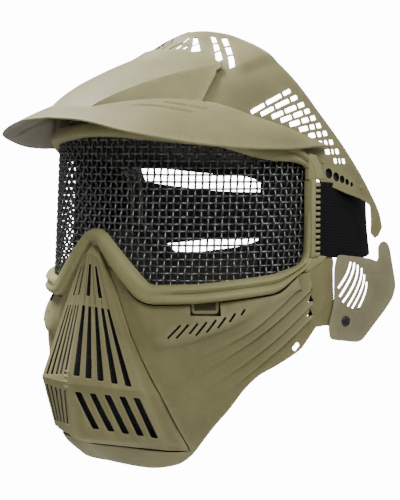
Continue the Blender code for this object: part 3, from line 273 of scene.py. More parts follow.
# near black for the ledges behind the seams: painted shade for the dark of a deep seam
SEAM_SHADE = plastic("seam shade plastic", (0.045, 0.041, 0.022), (0.09, 0.08, 0.05), 0.60, 0.3)

# %% [markdown]
# The wire is blackened steel, a little worn: one noise wanders between dark and brighter grey. The
# foam's cells are a Voronoi bump. The elastic's ribs and stitches are two waves on a map in
# metres, because Object coordinates would stretch them round the bends. The rivets are plain
# and dark, with a few scuffs.

# %% Wire, foam, elastic and rivets
WIRE, tree, shader = blank("black wire")
rust = noise(tree, node(tree, "TexCoord").outputs["Object"], 420, 3)
paint = ramp(tree, rust, [(0.35, (0.100, 0.100, 0.101)), (0.72, (0.27, 0.27, 0.264))])
dress(tree, shader, paint, bumped(tree, rust, 0.25, 0.0001),
      ramp(tree, rust, [(0.3, 0.18), (0.7, 0.34)]), Metallic=0.7)

# the same black foam also stands as painted shade in the thin sheets behind dark openings
BLACK_FOAM_AND_SHADE, tree, shader = blank("black foam")
coords = node(tree, "TexCoord").outputs["Object"]
cells = node(tree, "TexVoronoi")
put(cells, Scale=950)
tree.links.new(coords, cells.inputs["Vector"])
tone = ramp(tree, noise(tree, coords, 60, 3),
            [(0.3, (0.009, 0.009, 0.009)), (0.7, (0.022, 0.022, 0.023))])
dress(tree, shader, tone, bumped(tree, cells.outputs["Distance"], 0.8, 0.0006),
      Roughness=0.95, Sheen_Weight=0.25)

ELASTIC, tree, shader = blank("black elastic")
band = node(tree, "UVMap", uv_map="band").outputs["UV"]
ribs, stitches = (node(tree, "TexWave", wave_type="BANDS", bands_direction=way) for way in "XY")
put(ribs, Scale=190)
put(stitches, Scale=330, Distortion=1.5)
for wave in (ribs, stitches):
    tree.links.new(band, wave.inputs["Vector"])
knit = mixed(tree, 0.5, ribs.outputs["Color"], stitches.outputs["Color"])
tone = ramp(tree, knit, [(0.2, (0.0018, 0.0020, 0.0026)), (0.8, (0.0075, 0.0080, 0.0100))])
dress(tree, shader, tone, bumped(tree, knit, 0.55, 0.0004), Roughness=0.86, Specular_IOR_Level=0.2)

RIVET, tree, shader = blank("black rivet")
scuff = noise(tree, node(tree, "TexCoord").outputs["Object"], 700, 3)
tone = ramp(tree, scuff, [(0.35, (0.012, 0.012, 0.012)), (0.75, (0.045, 0.045, 0.045))])
dress(tree, shader, tone, bumped(tree, scuff, 0.2, 0.0001), Roughness=0.34)
print("finishes:", ", ".join(material.name for material in bpy.data.materials))

# %% [markdown]
# ## Shared tools for the shells
#
# Most of the mask is thin moulded shell with many holes. A shell could be cut with booleans, but
# those leave ragged faces on a curved sheet. Here each shell is cut while it is still flat:
# the outline and the holes are filled, the sheet is scored along straight lines, and only then
# its points are carried to their places. The score lines become the even, four-sided faces
# that bend well.

# %% Curves, lines and steps


def curve(table, at):
    """Smooth value of a table of (place, value) rows."""
    keys = [row[0] for row in table]
    at = min(max(at, keys[0]), keys[-1])
    i = min(max(bisect_right(keys, at) - 1, 0), len(keys) - 2)
    (x0, y0), (x1, y1) = table[i], table[i + 1]
    step = x1 - x0
    chord = (y1 - y0) / step
    slope0 = (y1 - table[i - 1][1]) / (x1 - table[i - 1][0]) if i > 0 else chord
    slope1 = (table[i + 2][1] - y0) / (table[i + 2][0] - x0) if i + 2 < len(table) else chord
    s = (at - x0) / step
    return ((2 * s ** 3 - 3 * s ** 2 + 1) * y0 + (s ** 3 - 2 * s ** 2 + s) * step * slope0
            + (3 * s ** 2 - 2 * s ** 3) * y1 + (s ** 3 - s ** 2) * step * slope1)


def line(table, at):
    """Straight-line value of a table of (place, value) rows."""
    keys = [row[0] for row in table]
    at = min(max(at, keys[0]), keys[-1])
    i = min(max(bisect_right(keys, at) - 1, 0), len(keys) - 2)
    (x0, y0), (x1, y1) = table[i], table[i + 1]
    return y0 + (y1 - y0) * (at - x0) / (x1 - x0)


def ease(low, high, at):
    """0 up to low, 1 from high on, and a smooth rise between."""
    s = max(0.0, min(1.0, (at - low) / (high - low)))
    return s * s * (3 - 2 * s)


def column(table, index, at):
    """Smooth value of one column of a table whose first column is the place."""
    return curve([(row[0], row[index]) for row in table], at)


def steps(low, high, size):
    """Even places strictly between low and high, no further apart than size."""
    count = max(1, ceil((high - low) / size))
    return [low + (high - low) * k / count for k in range(1, count)]


# %% Round a corner
ARC_FINER = 4
ARC_SHARE = 0.49


def rounded(corners):
    """Points of an open outline whose corners (u, v, radius, arc steps) are rounded by arcs."""
    points = []
    count = len(corners)
    for i, (u, v, radius, arc_steps) in enumerate(corners):
        here = Vector((u, v))
        if i in (0, count - 1):
            points.append(here)
            continue
        before = Vector(corners[i - 1][:2]) - here
        after = Vector(corners[i + 1][:2]) - here
        half = before.angle(after) / 2
        cut = min(radius / tan(half), before.length * ARC_SHARE, after.length * ARC_SHARE)
        radius = cut * tan(half)
        middle = here + (before.normalized() + after.normalized()).normalized() * radius / sin(half)
        start = here + before.normalized() * cut - middle
        sweep = (2 * half - pi) if before.cross(after) > 0 else (pi - 2 * half)
        for k in range(arc_steps * ARC_FINER + 1):
            turn = sweep * k / (arc_steps * ARC_FINER)
            spun = (start.x * cos(turn) - start.y * sin(turn), start.x * sin(turn) + start.y * cos(turn))
            points.append(middle + Vector(spun))
    return points


# %% Soften every corner
CORNER_SHARE = 0.4


def softened(points, radius, arc_steps=3, keep=()):
    """A closed outline with each corner rounded by up to that radius."""
    result = []
    count = len(points)
    for i, here in enumerate(points):
        before, after = points[i - 1] - here, points[(i + 1) % count] - here
        if i in keep or before.length < 1e-9 or after.length < 1e-9:
            result.append(here)
            continue
        cut = min(radius, before.length * CORNER_SHARE, after.length * CORNER_SHARE)
        start, end = here + before.normalized() * cut, here + after.normalized() * cut
        for k in range(arc_steps + 1):
            t = k / arc_steps
            result.append(start * (1 - t) ** 2 + here * (2 * t * (1 - t)) + end * t ** 2)
    return result


# %% Divide a line, and the outlines of holes


def divided(points, step, closed=True):
    """The same line with no stretch longer than step."""
    result = []
    for a, b in zip(points, points[1:] + points[:1] if closed else points[1:]):
        parts = max(1, ceil((b - a).length / step - 1e-6))
        result += [a.lerp(b, k / parts) for k in range(parts)]
    if not closed:
        result.append(points[-1])
    return result


def circle(u, v, radius, sides):
    """A round hole's outline, in the flat."""
    return [Vector((u + radius * cos(2 * pi * k / sides), v + radius * sin(2 * pi * k / sides)))
            for k in range(sides)]


def bar(a, b, width_a, width_b):
    """Four corners of a slot from a to b, in the flat."""
    a, b = Vector(a), Vector(b)
    along = (b - a).normalized()
    side = Vector((-along.y, along.x))
    at_a, at_b = side * width_a / 2, side * width_b / 2
    return [a - at_a, b - at_b, b + at_b, a + at_a]


# %% Fill a flat outline
# The flat is worked in millimetres, because the fill rounds off anything much finer.
MM = 1000.0


def everything(bm):
    return bm.verts[:] + bm.edges[:] + bm.faces[:]


def both_halves(bm, weld=0.00002):
    """Mirrors the left half and joins both at the middle plane."""
    bmesh.ops.mirror(bm, geom=everything(bm), matrix=Matrix.Identity(4), merge_dist=weld, axis="X")
    bmesh.ops.remove_doubles(bm, verts=bm.verts[:], dist=weld)
    bmesh.ops.recalc_face_normals(bm, faces=bm.faces[:])
    return bm


def fill_flat(loops):
    """A flat sheet inside the first loop and outside the others."""
    bm = bmesh.new()
    for loop in loops:
        verts = [bm.verts.new((p[0] * MM, p[1] * MM, 0)) for p in loop]
        for a, b in zip(verts, verts[1:] + verts[:1]):
            bm.edges.new((a, b))
    bmesh.ops.triangle_fill(bm, use_beauty=False, edges=bm.edges[:], normal=(0, 0, 1))
    return bm


# %% Score it along straight lines
WELD = 0.25


def score(bm, across, down, slants=()):
    """Cuts the sheet along straight lines and takes away the edges that lie on none of them."""
    cuts = [(Vector((u * MM, 0, 0)), Vector((1, 0, 0))) for u in across]
    cuts += [(Vector((0, v * MM, 0)), Vector((0, 1, 0))) for v in down]
    for a, b in slants:
        along = (Vector(b) - Vector(a)).normalized()
        cuts.append((Vector((a[0] * MM, a[1] * MM, 0)), Vector((-along.y, along.x, 0))))
    for spot, normal in cuts:
        bmesh.ops.bisect_plane(bm, geom=everything(bm), dist=1e-4, plane_co=spot, plane_no=normal)
    scored = {edge for spot, normal in cuts for edge in bm.edges
              if all(abs((v.co - spot).dot(normal)) < 1e-3 for v in edge.verts)}
    spare = [e for e in bm.edges if not e.is_boundary and e not in scored]
    bmesh.ops.dissolve_edges(bm, edges=spare, use_verts=False, use_face_split=False)
    loose = [v for v in bm.verts if len(v.link_edges) == 2 and not v.is_boundary]
    bmesh.ops.dissolve_verts(bm, verts=loose)
    bmesh.ops.remove_doubles(bm, verts=bm.verts[:], dist=WELD)


# %% Room for the margin
EDGE_SPOTS = 0.4
CLEAR_SHARE, CLEAR_MORE = 1.5, 0.25


def clear_margin(bm, margin):
    """Takes away inner points that crowd an edge, so that a margin can be set in there."""
    spots = []
    for edge in bm.edges:
        if edge.is_boundary:
            a, b = (v.co for v in edge.verts)
            count = max(1, ceil((b - a).length / EDGE_SPOTS))
            spots += [a.lerp(b, k / count) for k in range(count)]
    near = KDTree(len(spots))
    for i, spot in enumerate(spots):
        near.insert(spot, i)
    near.balance()
    clear = margin * CLEAR_SHARE + CLEAR_MORE
    crowding = [v for v in bm.verts if not v.is_boundary and near.find(v.co)[2] < clear]
    bmesh.ops.dissolve_verts(bm, verts=crowding)


# %% Cut a shell while it is flat
NEAR_MIDDLE = 1.02 * WELD
FLAT_JOIN = 0.001
MARGIN_JOIN = 0.12


def cut_flat(outline, holes, across, down, slants=(), margin=0.35, both_sides=True):
    """A scored flat sheet with an even margin along its outline and round every hole."""
    bm = fill_flat([outline] + list(holes))
    score(bm, across, down, slants)
    if both_sides:
        for v in bm.verts:
            v.co.x = 0.0 if abs(v.co.x) < NEAR_MIDDLE else v.co.x
        both_halves(bm, FLAT_JOIN)
    rim = bm.verts.layers.int.new("rim")
    if margin:
        clear_margin(bm, margin)
        bmesh.ops.inset_region(bm, faces=bm.faces[:], use_boundary=True, thickness=margin, depth=0)
        bmesh.ops.remove_doubles(bm, verts=bm.verts[:], dist=MARGIN_JOIN)
        for v in bm.verts:
            v[rim] = int(v.is_boundary)
    many = [f for f in bm.faces if len(f.verts) > 4]
    bmesh.ops.triangulate(bm, faces=many, ngon_method="BEAUTY")
    bm.normal_update()
    up = sum(f.normal.z > 0 for f in bm.faces)
    print("cut:", len(bm.faces), "faces,", min(up, len(bm.faces) - up), "of them turned over")
    return bm


# %% Carry it to its place
HEART = Vector((0, 0.035, -0.030))


def face_out(bm, heart=HEART):
    """Turns the faces so that they look away from the middle of the head."""
    bmesh.ops.recalc_face_normals(bm, faces=bm.faces[:])
    vote = sum(f.normal.dot(f.calc_center_median() - heart) * f.calc_area() for f in bm.faces)
    if vote < 0:
        bmesh.ops.reverse_faces(bm, faces=bm.faces[:])
    return bm


def carry(bm, place, both_sides=True, drop=0.00028):
    """Takes the flat points to their places and lets the rim fall away at the edge, as a chamfer."""
    for v in bm.verts:
        u, w = v.co.x / MM, v.co.y / MM
        if both_sides:
            spot = place(abs(u), w)
            v.co = (-spot.x if u < 0 else spot.x, spot.y, spot.z)
        else:
            v.co = place(u, w)
    face_out(bm)
    bm.normal_update()
    rim = bm.verts.layers.int["rim"]
    for v, normal in [(v, v.normal.copy()) for v in bm.verts if v[rim]]:
        v.co -= normal * drop
    return bm


# %% Turn a bmesh into a piece of the mask


def piece(name, bm, finishes, stands_for=(), crisp=35):
    """An object that rides on the mask's one body; it is creased where it turns by more than crisp."""
    mesh = bpy.data.meshes.new(name)
    bm.to_mesh(mesh)
    bm.free()
    mesh.shade_smooth()
    mesh.set_sharp_from_angle(angle=radians(crisp))
    made = bpy.data.objects.new(name, mesh)
    for finish in finishes:
        mesh.materials.append(finish)
    bpy.context.scene.collection.objects.link(made)
    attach(made, "root")
    if stands_for:
        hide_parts(*stands_for)
    print(name, "has", len(mesh.polygons), "faces before its wall")
    return made


# %% Walls and soft edges


def wall(made, thickness, offset=-1.0):
    """A wall inside the face, with the last finish inside."""
    skin = made.modifiers.new("wall", "SOLIDIFY")
    skin.thickness = thickness
    skin.offset = offset
    skin.use_even_offset = False
    skin.thickness_clamp = 1.0
    skin.material_offset = len(made.data.materials) - 1


def even_shading(made):
    """Lets the broad faces keep their own shading, so that only the narrow margins turn the light."""
    made.modifiers.new("even shading", "WEIGHTED_NORMAL").keep_sharp = True


def shell(name, bm, finishes, stands_for, crisp, thickness):
    """A moulded piece: its face, the wall behind it and even shading."""
    made = piece(name, bm, finishes, stands_for, crisp)
    wall(made, thickness)
    even_shading(made)


def soften_edges(made, width, angle):
    round_off = made.modifiers.new("soft edges", "BEVEL")
    round_off.width = width
    round_off.segments = 2
    round_off.limit_method = "ANGLE"
    round_off.angle_limit = radians(angle)
    round_off.use_clamp_overlap = False
    even_shading(made)


# %% [markdown]
# ## Breather grill
#
# The grill is a thick plate bent into flat facets: a narrow nose cap, two long front facets that
# meet in a sharp keel, a chin, and a narrow flank on each side. It could be folded from a plane,
# but its slots follow the facets, so it is cut flat first. In the flat, one unit across is the
# front facet, the second is the flank, and one unit down is the whole height: there every slot
# has straight sides and every fold is a score line.

# %% Grill sizes and folds
GRILL_REACH = 0.1075
GRILL_DROP = 0.1370
GRILL_HALF_WIDTH = 0.0540
GRILL_WALL = 0.0030
GRILL_ROWS = (
    # drop share of the flat, then the middle, edge and flank columns as (x, y, z) shares of
    # GRILL_HALF_WIDTH, GRILL_REACH and GRILL_DROP
    (0.000, (0.00, 0.785, 0.174), (0.072, 0.784, 0.189), (0.128, 0.776, 0.231)),
    (0.055, (0.00, 0.842, 0.196), (0.120, 0.826, 0.222), (0.265, 0.779, 0.338)),
    (0.380, (0.00, 0.910, 0.440), (0.400, 0.832, 0.455), (0.490, 0.780, 0.534)),
    (0.690, (0.00, 1.000, 0.724), (0.745, 0.830, 0.742), (0.790, 0.716, 0.768)),
    (0.930, (0.00, 0.942, 0.956), (0.835, 0.698, 0.968), (0.948, 0.602, 0.982)),
    (1.000, (0.00, 0.842, 0.985), (0.790, 0.662, 0.998), (0.938, 0.584, 1.000)))
GRILL_UNIT = 0.045
GRILL_TALL = 0.124


# %% The grill's flat and its facets


def grill_flat(across, share):
    """A place in the grill's flat."""
    return Vector((across * GRILL_UNIT, -share * GRILL_TALL))


def grill_node(row, index):
    x, y, z = row[index]
    return Vector((x * GRILL_HALF_WIDTH, -y * GRILL_REACH, -z * GRILL_DROP))


def grill_spot(across, share):
    """Point on the facets: across 0 is the keel, 1 the front facet's edge and 2 the flank's."""
    keys = [row[0] for row in GRILL_ROWS]
    i = min(max(bisect_right(keys, share) - 1, 0), len(keys) - 2)
    t = (share - keys[i]) / (keys[i + 1] - keys[i])
    left = 1 if across <= 1 else 2
    s = across if across <= 1 else across - 1
    upper = grill_node(GRILL_ROWS[i], left).lerp(grill_node(GRILL_ROWS[i], left + 1), s)
    lower = grill_node(GRILL_ROWS[i + 1], left).lerp(grill_node(GRILL_ROWS[i + 1], left + 1), s)
    return upper.lerp(lower, t)


def grill_normal(across, share):
    """Outward direction, from the facets a small step either way."""
    step = 0.01
    a = grill_spot(min(across + step, 2), share) - grill_spot(max(across - step, 0.001), share)
    b = grill_spot(across, min(share + step, 1)) - grill_spot(across, max(share - step, 0))
    return b.cross(a).normalized()


# %% Grill slots and the thin grooves between them
# across at the top and bottom ends, down at the top and bottom ends, width share at top and bottom
GRILL_SLOTS = (
    (0.24, 0.22, 0.12, 0.29, 0.12, 0.12), (0.60, 0.62, 0.12, 0.29, 0.12, 0.12),
    (0.11, 0.12, 0.345, 0.655, 0.075, 0.085), (0.28, 0.29, 0.345, 0.660, 0.075, 0.085),
    (0.46, 0.46, 0.345, 0.665, 0.075, 0.085), (0.64, 0.65, 0.345, 0.670, 0.075, 0.085),
    (0.80, 0.835, 0.345, 0.675, 0.070, 0.080),
    (0.13, 0.26, 0.725, 0.882, 0.080, 0.075), (0.32, 0.43, 0.725, 0.887, 0.080, 0.075),
    (0.51, 0.59, 0.725, 0.892, 0.080, 0.075), (0.70, 0.75, 0.725, 0.897, 0.080, 0.075),
    (0.88, 0.90, 0.725, 0.902, 0.080, 0.075))
GROOVES = (
    # across, and where it starts and ends down the grill
    (0.115, 0.075, 0.330), (0.28, 0.300, 0.330), (0.42, 0.075, 0.330), (0.46, 0.300, 0.330),
    (0.64, 0.300, 0.330), (0.82, 0.075, 0.330))
GRILL_SLOT_ROUND = 0.0006
GROOVE_WIDE = 0.013
GROOVE_DEEP = 0.0007
GROOVE_FADE_IN, GROOVE_FADE_OUT = 0.01, 0.02


# %% A slot's corners and a groove's depth


def grill_slot(across0, across1, down0, down1, wide0, wide1):
    corners = [(across0 - wide0 / 2, down0), (across1 - wide1 / 2, down1),
               (across1 + wide1 / 2, down1), (across0 + wide0 / 2, down0)]
    return softened([grill_flat(*corner) for corner in corners], GRILL_SLOT_ROUND, arc_steps=2)


def in_groove(across, share):
    """How deep a point lies in a groove, from 0 to 1."""
    deep = 0.0
    for place, start, end in GROOVES:
        run = ease(start - GROOVE_FADE_IN, start + GROOVE_FADE_IN, share)
        run *= 1 - ease(end, end + GROOVE_FADE_OUT, share)
        deep = max(deep, run * max(0.0, 1 - abs(across - place) / GROOVE_WIDE))
    return deep


def grill_place(u, v):
    across, share = u / GRILL_UNIT, min(1.0, max(0.0, -v / GRILL_TALL))
    spot = grill_spot(across, share)
    deep = in_groove(across, share)
    if deep > 0:
        spot = spot - grill_normal(across, share) * (GROOVE_DEEP * deep)
    return spot


# %% The grill plate
GRILL_CORNERS = ((0, 0), (0, 1), (2, 1), (2.0, 0.875), (2.13, 0.825), (2, 0.550), (2, 0))

across = steps(0, 1, 0.07) + [1.0] + steps(1, 2, 0.25)
across += [row[0] + side * GROOVE_WIDE for row in GROOVES for side in (-1, 0, 1)]
down = [row[0] for row in GRILL_ROWS[1:-1]] + steps(0, 1, 0.022)
bm = cut_flat([grill_flat(*corner) for corner in GRILL_CORNERS],
              [grill_slot(*slot) for slot in GRILL_SLOTS],
              [a * GRILL_UNIT for a in across], [-d * GRILL_TALL for d in down], margin=0.30)
carry(bm, grill_place)
shell("breather_grill", bm, [TAN, INNER_SHADE], ["mouth_grill"],
      crisp=9, thickness=GRILL_WALL)

# %% [markdown]
# Behind the slots the photograph is dark, right down to the lowest one. What lies there can't be
# seen. A thin black foam filter is a fair guess and stands there as painted shade for that dark;
# its shape is the grill's own, set in by the wall.

# %% Foam filter behind the slots, as painted shade
FOAM_THICK = 0.0015
FOAM_GAP = 0.0008
FILTER_SHARES = (0.08, 0.93)
FILTER_ACROSS = 0.97
FILTER_STEPS = (0.09, 0.03)


def shade_foam_sheet(name, outline, across, down, place):
    """A thin black foam sheet, painted shade behind a dark opening, cut flat and carried to its place
    like a shell.
    """
    bm = cut_flat(outline, [], across, down, margin=0)
    carry(bm, place)
    made = piece(name, bm, [BLACK_FOAM_AND_SHADE])
    wall(made, FOAM_THICK)


def filter_place(u, v):
    across, share = u / GRILL_UNIT, -v / GRILL_TALL
    return grill_spot(across, share) - grill_normal(across, share) * (GRILL_WALL + FOAM_GAP)


top, low = FILTER_SHARES
corners = ((0, top), (0, low), (FILTER_ACROSS, low), (FILTER_ACROSS, top))
shade_foam_sheet("breather_filter_shade", [grill_flat(*corner) for corner in corners],
           [a * GRILL_UNIT for a in steps(0, FILTER_ACROSS, FILTER_STEPS[0])],
           [-d * GRILL_TALL for d in steps(top, low, FILTER_STEPS[1])], filter_place)

# %% [markdown]
# Twelve small pimples stand in three columns beside the keel, on the wearer's right alone. Each is
# a flattened ball, set into the facet so that only its cap shows.

# %% Pimples beside the keel
DOT_ROWS = (0.642, 0.664, 0.686, 0.708)
DOT_COLUMNS = (0.00, 0.05, 0.10)
DOT_RADIUS = 0.00075
DOT_HIGH = 0.00070


def cap(bm, spot, normal, radius, high, segments=10, rings=6):
    """A flattened ball whose upper half stands off a surface."""
    turn = normal.to_track_quat("Z", "Y").to_matrix().to_4x4()
    squeeze = Matrix.Diagonal((radius, radius, high, 1))
    bmesh.ops.create_uvsphere(bm, u_segments=segments, v_segments=rings, radius=1,
                              matrix=Matrix.Translation(spot) @ turn @ squeeze)


bm = bmesh.new()
for share in DOT_ROWS:
    for across in DOT_COLUMNS:
        spot, normal = grill_spot(across, share), grill_normal(across, share)
        spot.x, normal.x = -spot.x, -normal.x
        cap(bm, spot, normal, DOT_RADIUS, DOT_HIGH)
piece("grill_pimples", bm, [TAN])

# %% [markdown]
# ## Goggle frame
#
# The frame is one moulding: a section with two soft ridges and a groove between them, carried
# round the window. Along a path like this a curve's bevel would twist at the nose arch, so a
# ring of edges is extruded from station to station instead. Each station lies on the lens form,
# half an ellipse in plan that leans back towards the brow.

# %% The lens form
LENS_HALF_WIDTH = 0.0840
LENS_DEPTH = 0.0810
LENS_LEAN = radians(3.5)
WINDOW_REACH = 0.1260
WINDOW_TOP = 0.0369
WINDOW_BOTTOM = 0.0448
ARCH_RADIUS = 0.0125
PAD_HALF_WIDTH = 0.0600
PAD_TOP = 0.0255
PAD_BOTTOM = 0.0360
LENS_ARC = (LENS_HALF_WIDTH + LENS_DEPTH) / 2


def lens_point(u, z, out=0.0):
    """Point on the lens form, u along its arc from the middle, z high, out off its surface."""
    phi = min(u / LENS_ARC, pi / 2)
    x = LENS_HALF_WIDTH * sin(phi)
    y = -LENS_DEPTH * cos(phi) + max(0.0, u - LENS_ARC * pi / 2)
    normal = Vector((LENS_DEPTH * sin(phi), -LENS_HALF_WIDTH * cos(phi), 0)).normalized()
    return Vector((x, y + tan(LENS_LEAN) * z, z)) + normal * out


# %% The window and the pad's seat
TEMPLE = lens_point(WINDOW_REACH, 0).y
WINDOW_STEP = 0.0032
OPENING = (
    # window corner: u as a share of WINDOW_REACH, z as a share of WINDOW_TOP or _BOTTOM, radius, arc
    # steps, then the pad's: x as a share of PAD_HALF_WIDTH, z as a share of PAD_TOP or _BOTTOM, radius
    (-1.00, 0.69, 0.000, 0, -1.00, 0.72, 0.000), (0.00, 1.00, 0.200, 4, 0.00, 1.00, 0.090),
    (1.00, 0.69, 0.016, 3, 1.00, 0.72, 0.014), (1.00, -0.76, 0.009, 3, 1.00, -0.70, 0.013),
    (0.83, -0.88, 0.030, 1, 0.83, -0.88, 0.020), (0.49, -0.98, 0.060, 1, 0.53, -0.97, 0.030),
    (0.28, -1.00, 0.008, 2, 0.30, -1.00, 0.009), (0.00, -0.2125, ARCH_RADIUS, 4, 0.00, -0.28, 0.016),
    (-0.28, -1.00, 0.000, 0, -0.30, -1.00, 0.000))


def opening_lines(step):
    """Half outlines of the window and of the pad's seat, from the brow's middle to the nose arch."""
    corners, seats = [], []
    for u, z, radius, arc_steps, pad_x, pad_z, pad_radius in OPENING:
        height = WINDOW_TOP if z > 0 else WINDOW_BOTTOM
        pad_height = PAD_TOP if pad_z > 0 else PAD_BOTTOM
        corners.append((u * WINDOW_REACH, z * height, radius, arc_steps))
        seats.append((pad_x * PAD_HALF_WIDTH, pad_z * pad_height, pad_radius, arc_steps))
    pairs = [pair for pair in zip(rounded(corners), rounded(seats)) if pair[0].x > -1e-6]
    window, seat = [pairs[0][0]], [pairs[0][1]]
    for (a, c), (b, d) in zip(pairs, pairs[1:]):
        parts = max(1, ceil((b - a).length / step - 1e-6))
        window += [a.lerp(b, k / parts) for k in range(1, parts + 1)]
        seat += [c.lerp(d, k / parts) for k in range(1, parts + 1)]
    for spot in (window[0], window[-1], seat[0], seat[-1]):
        spot.x = 0.0
    return window, seat


WINDOW, SEAT = opening_lines(WINDOW_STEP)
print("window:", len(WINDOW), "stations on each half")

# %% Outward directions round the window


def half_normals(points):
    """Outward normals of a half outline that runs clockwise from the plane back to the plane."""
    mirrored = [Vector((-points[1].x, points[1].y))] + points + [Vector((-points[-2].x, points[-2].y))]
    normals = []
    for a, here, b in zip(mirrored, points, mirrored[2:]):
        along = (here - a).normalized() + (b - here).normalized()
        normals.append(Vector((-along.y, along.x)).normalized())
    return normals


# %% The frame's width and the seat behind it
FRAME_WIDTH = 0.0110
# shares of FRAME_WIDTH: at the brow, what is added under the eyes, taken at the temples and nose
AT_BROW, UNDER_EYES, AT_TEMPLES, AT_NOSE = 0.76, 0.24, 0.38, 0.30
PAD_BROW = 0.0420
PAD_TEMPLE = 0.0020
PAD_NOSE = 0.0120


def frame_width(u, z):
    """The frame is narrow at the temples and over the nose, and wide under the eyes."""
    side = ease(0.80, 0.97, u / WINDOW_REACH)
    low = ease(0.0, 0.6, -z / WINDOW_BOTTOM)
    nose = 1 - ease(0.0, 0.22, u / WINDOW_REACH)
    share = AT_BROW + UNDER_EYES * low * (1 - side) - AT_TEMPLES * side - AT_NOSE * nose * low
    return FRAME_WIDTH * share


def pad_point(x, z):
    """Seat of the face pad, on the curve of the face."""
    share = x / PAD_HALF_WIDTH
    y = PAD_TEMPLE - (PAD_BROW + PAD_TEMPLE) * (1 - share ** 2)
    nose = (1 - ease(0.0, 0.65, abs(share))) * ease(0.0, 0.3, -z / PAD_BOTTOM)
    return Vector((x, y - PAD_NOSE * nose, z))


def pad_frames():
    """Seat point, outward direction and backward direction at each station of the window."""
    seats = [pad_point(p.x, p.y) for p in SEAT]
    flip = Vector((-1, 1, 1))
    frames = []
    for before, seat, after in zip([seats[1] * flip] + seats, seats, seats[1:] + [seats[-2] * flip]):
        along = (after - before).normalized()
        back = Vector((-0.30 * seat.x / PAD_HALF_WIDTH, 1, 0)).normalized()
        out = along.cross(back).normalized()
        frames.append((seat, out, back))
    return frames


# %% The frame's section
FRAME_PROUD = 0.0062
FRAME_WALL = 0.0035
GROOVE_DEPTH = 0.0026
LENS_THICK = 0.0012
LENS_PLAY = 0.0004
PAD_BREADTH = 0.0130
FLANGE_SHARE = 0.90
FLANGE_WALL = 0.0020
FLANGE_ROOT = 0.0035
FLANGE_SOFT = 0.0006
# how much further out and back the moulding's inside stands at the temples
REAR_OUT, REAR_ROOT, REAR_LIP = 0.0035, 0.0018, 0.0010
SECTION = (
    # along the frame's width as a share of it, rise of the two ridges and of the plain band,
    # both as shares of FRAME_PROUD
    (0.00, 0.10, 0.10), (0.04, 0.60, 0.52), (0.12, 0.90, 0.76), (0.22, 0.99, 0.90), (0.32, 0.90, 0.97),
    (0.40, 0.74, 0.995), (0.46, 0.68, 1.00), (0.52, 0.74, 1.00), (0.60, 0.92, 0.995), (0.70, 1.00, 0.97),
    (0.80, 0.96, 0.91), (0.89, 0.80, 0.78), (0.96, 0.50, 0.48), (1.00, 0.00, 0.00), (0.97, -0.35, -0.35),
    (0.84, -0.75, -0.75))


def ridged(u, z):
    """1 where the frame has its two ridges, 0 where it is a plain band over the nose and the brow."""
    under = ease(0.24, 0.42, u / WINDOW_REACH) * ease(0.0, 0.4, -z / WINDOW_BOTTOM)
    side = ease(0.80, 0.95, u / WINDOW_REACH)
    return max(under, side)


OVERHANG_TOP = 0.0058
OVERHANG_SIDE = 0.0014


def overhang(u, z):
    """How far the moulding reaches in over the mesh: most at the window's upper corners."""
    across = u / WINDOW_REACH
    top = OVERHANG_TOP * ease(0.50, 0.80, across) * ease(0.35, 0.85, z / WINDOW_TOP)
    return max(top, OVERHANG_SIDE * ease(0.90, 0.99, across))


# %% One station of the frame


def frame_section(point, normal, seat, out, back):
    """One closed station of the frame, from the lens groove round the front to the flange."""
    width = frame_width(point.x, point.y)
    over = overhang(point.x, point.y)
    slot = LENS_THICK / 2 + LENS_PLAY
    side = ease(0.3, 0.9, out.x)
    lip = FLANGE_SHARE * PAD_BREADTH / 2
    soft = FLANGE_SOFT
    ring = []
    for along, rise in ((GROOVE_DEPTH, slot), (0.0, slot)):
        spot = point + normal * along
        ring.append(lens_point(spot.x, spot.y, rise))
    ridges = ridged(point.x, point.y)
    for share, rise, plain in SECTION[1:]:
        spot = point + normal * (share * width - (1 - share) * over)
        ring.append(lens_point(spot.x, spot.y, (plain + (rise - plain) * ridges) * FRAME_PROUD))
    rear = [(FRAME_WALL / 2 + side * REAR_OUT, -FLANGE_ROOT + side * REAR_ROOT),
            (lip, -FLANGE_WALL + side * REAR_LIP), (lip, -soft), (lip - soft, 0), (soft - lip, 0),
            (-lip, -soft), (-lip, -FLANGE_WALL), (-FRAME_WALL / 2, -FLANGE_ROOT)]
    ring += [seat + out * across + back * deep for across, deep in rear]
    for share, rise in ((0.06 * width, -0.60 * FRAME_PROUD), (0.0, -slot), (GROOVE_DEPTH, -slot)):
        spot = point + normal * share
        ring.append(lens_point(spot.x, spot.y, rise))
    return ring


# %% Carry the section round the window


def pull(bm, ring, places, closed=True):
    """Extrudes a line of edges and sets its new points on their places."""
    pairs = list(zip(ring, ring[1:] + ring[:1] if closed else ring[1:]))
    edges = [bm.edges.get(pair) for pair in pairs]
    made = bmesh.ops.extrude_edge_only(bm, edges=edges)["geom"]
    fresh = {v for v in made if isinstance(v, bmesh.types.BMVert)}
    line_on = []
    for v, place in zip(ring, places):
        partner = next(e.other_vert(v) for e in v.link_edges if e.other_vert(v) in fresh)
        partner.co = place
        line_on.append(partner)
    return line_on


def swept(stations, closed=True):
    """A skin through stations of equal points, by extruding the first one on."""
    bm = bmesh.new()
    place_in_ring = bm.verts.layers.int.new("place")
    ring = [bm.verts.new(place) for place in stations[0]]
    for i, v in enumerate(ring):
        v[place_in_ring] = i
    for a, b in zip(ring, ring[1:] + ring[:1] if closed else ring[1:]):
        bm.edges.new((a, b))
    for places in stations[1:]:
        ring = pull(bm, ring, places, closed)
    return bm


# %% The frame's moulding
stations = [frame_section(p, n, *f) for p, n, f in zip(WINDOW, half_normals(WINDOW), pad_frames())]
for ring in (stations[0], stations[-1]):
    for spot in ring:
        spot.x = 0.0
bm = swept(stations)
place_in_ring = bm.verts.layers.int["place"]
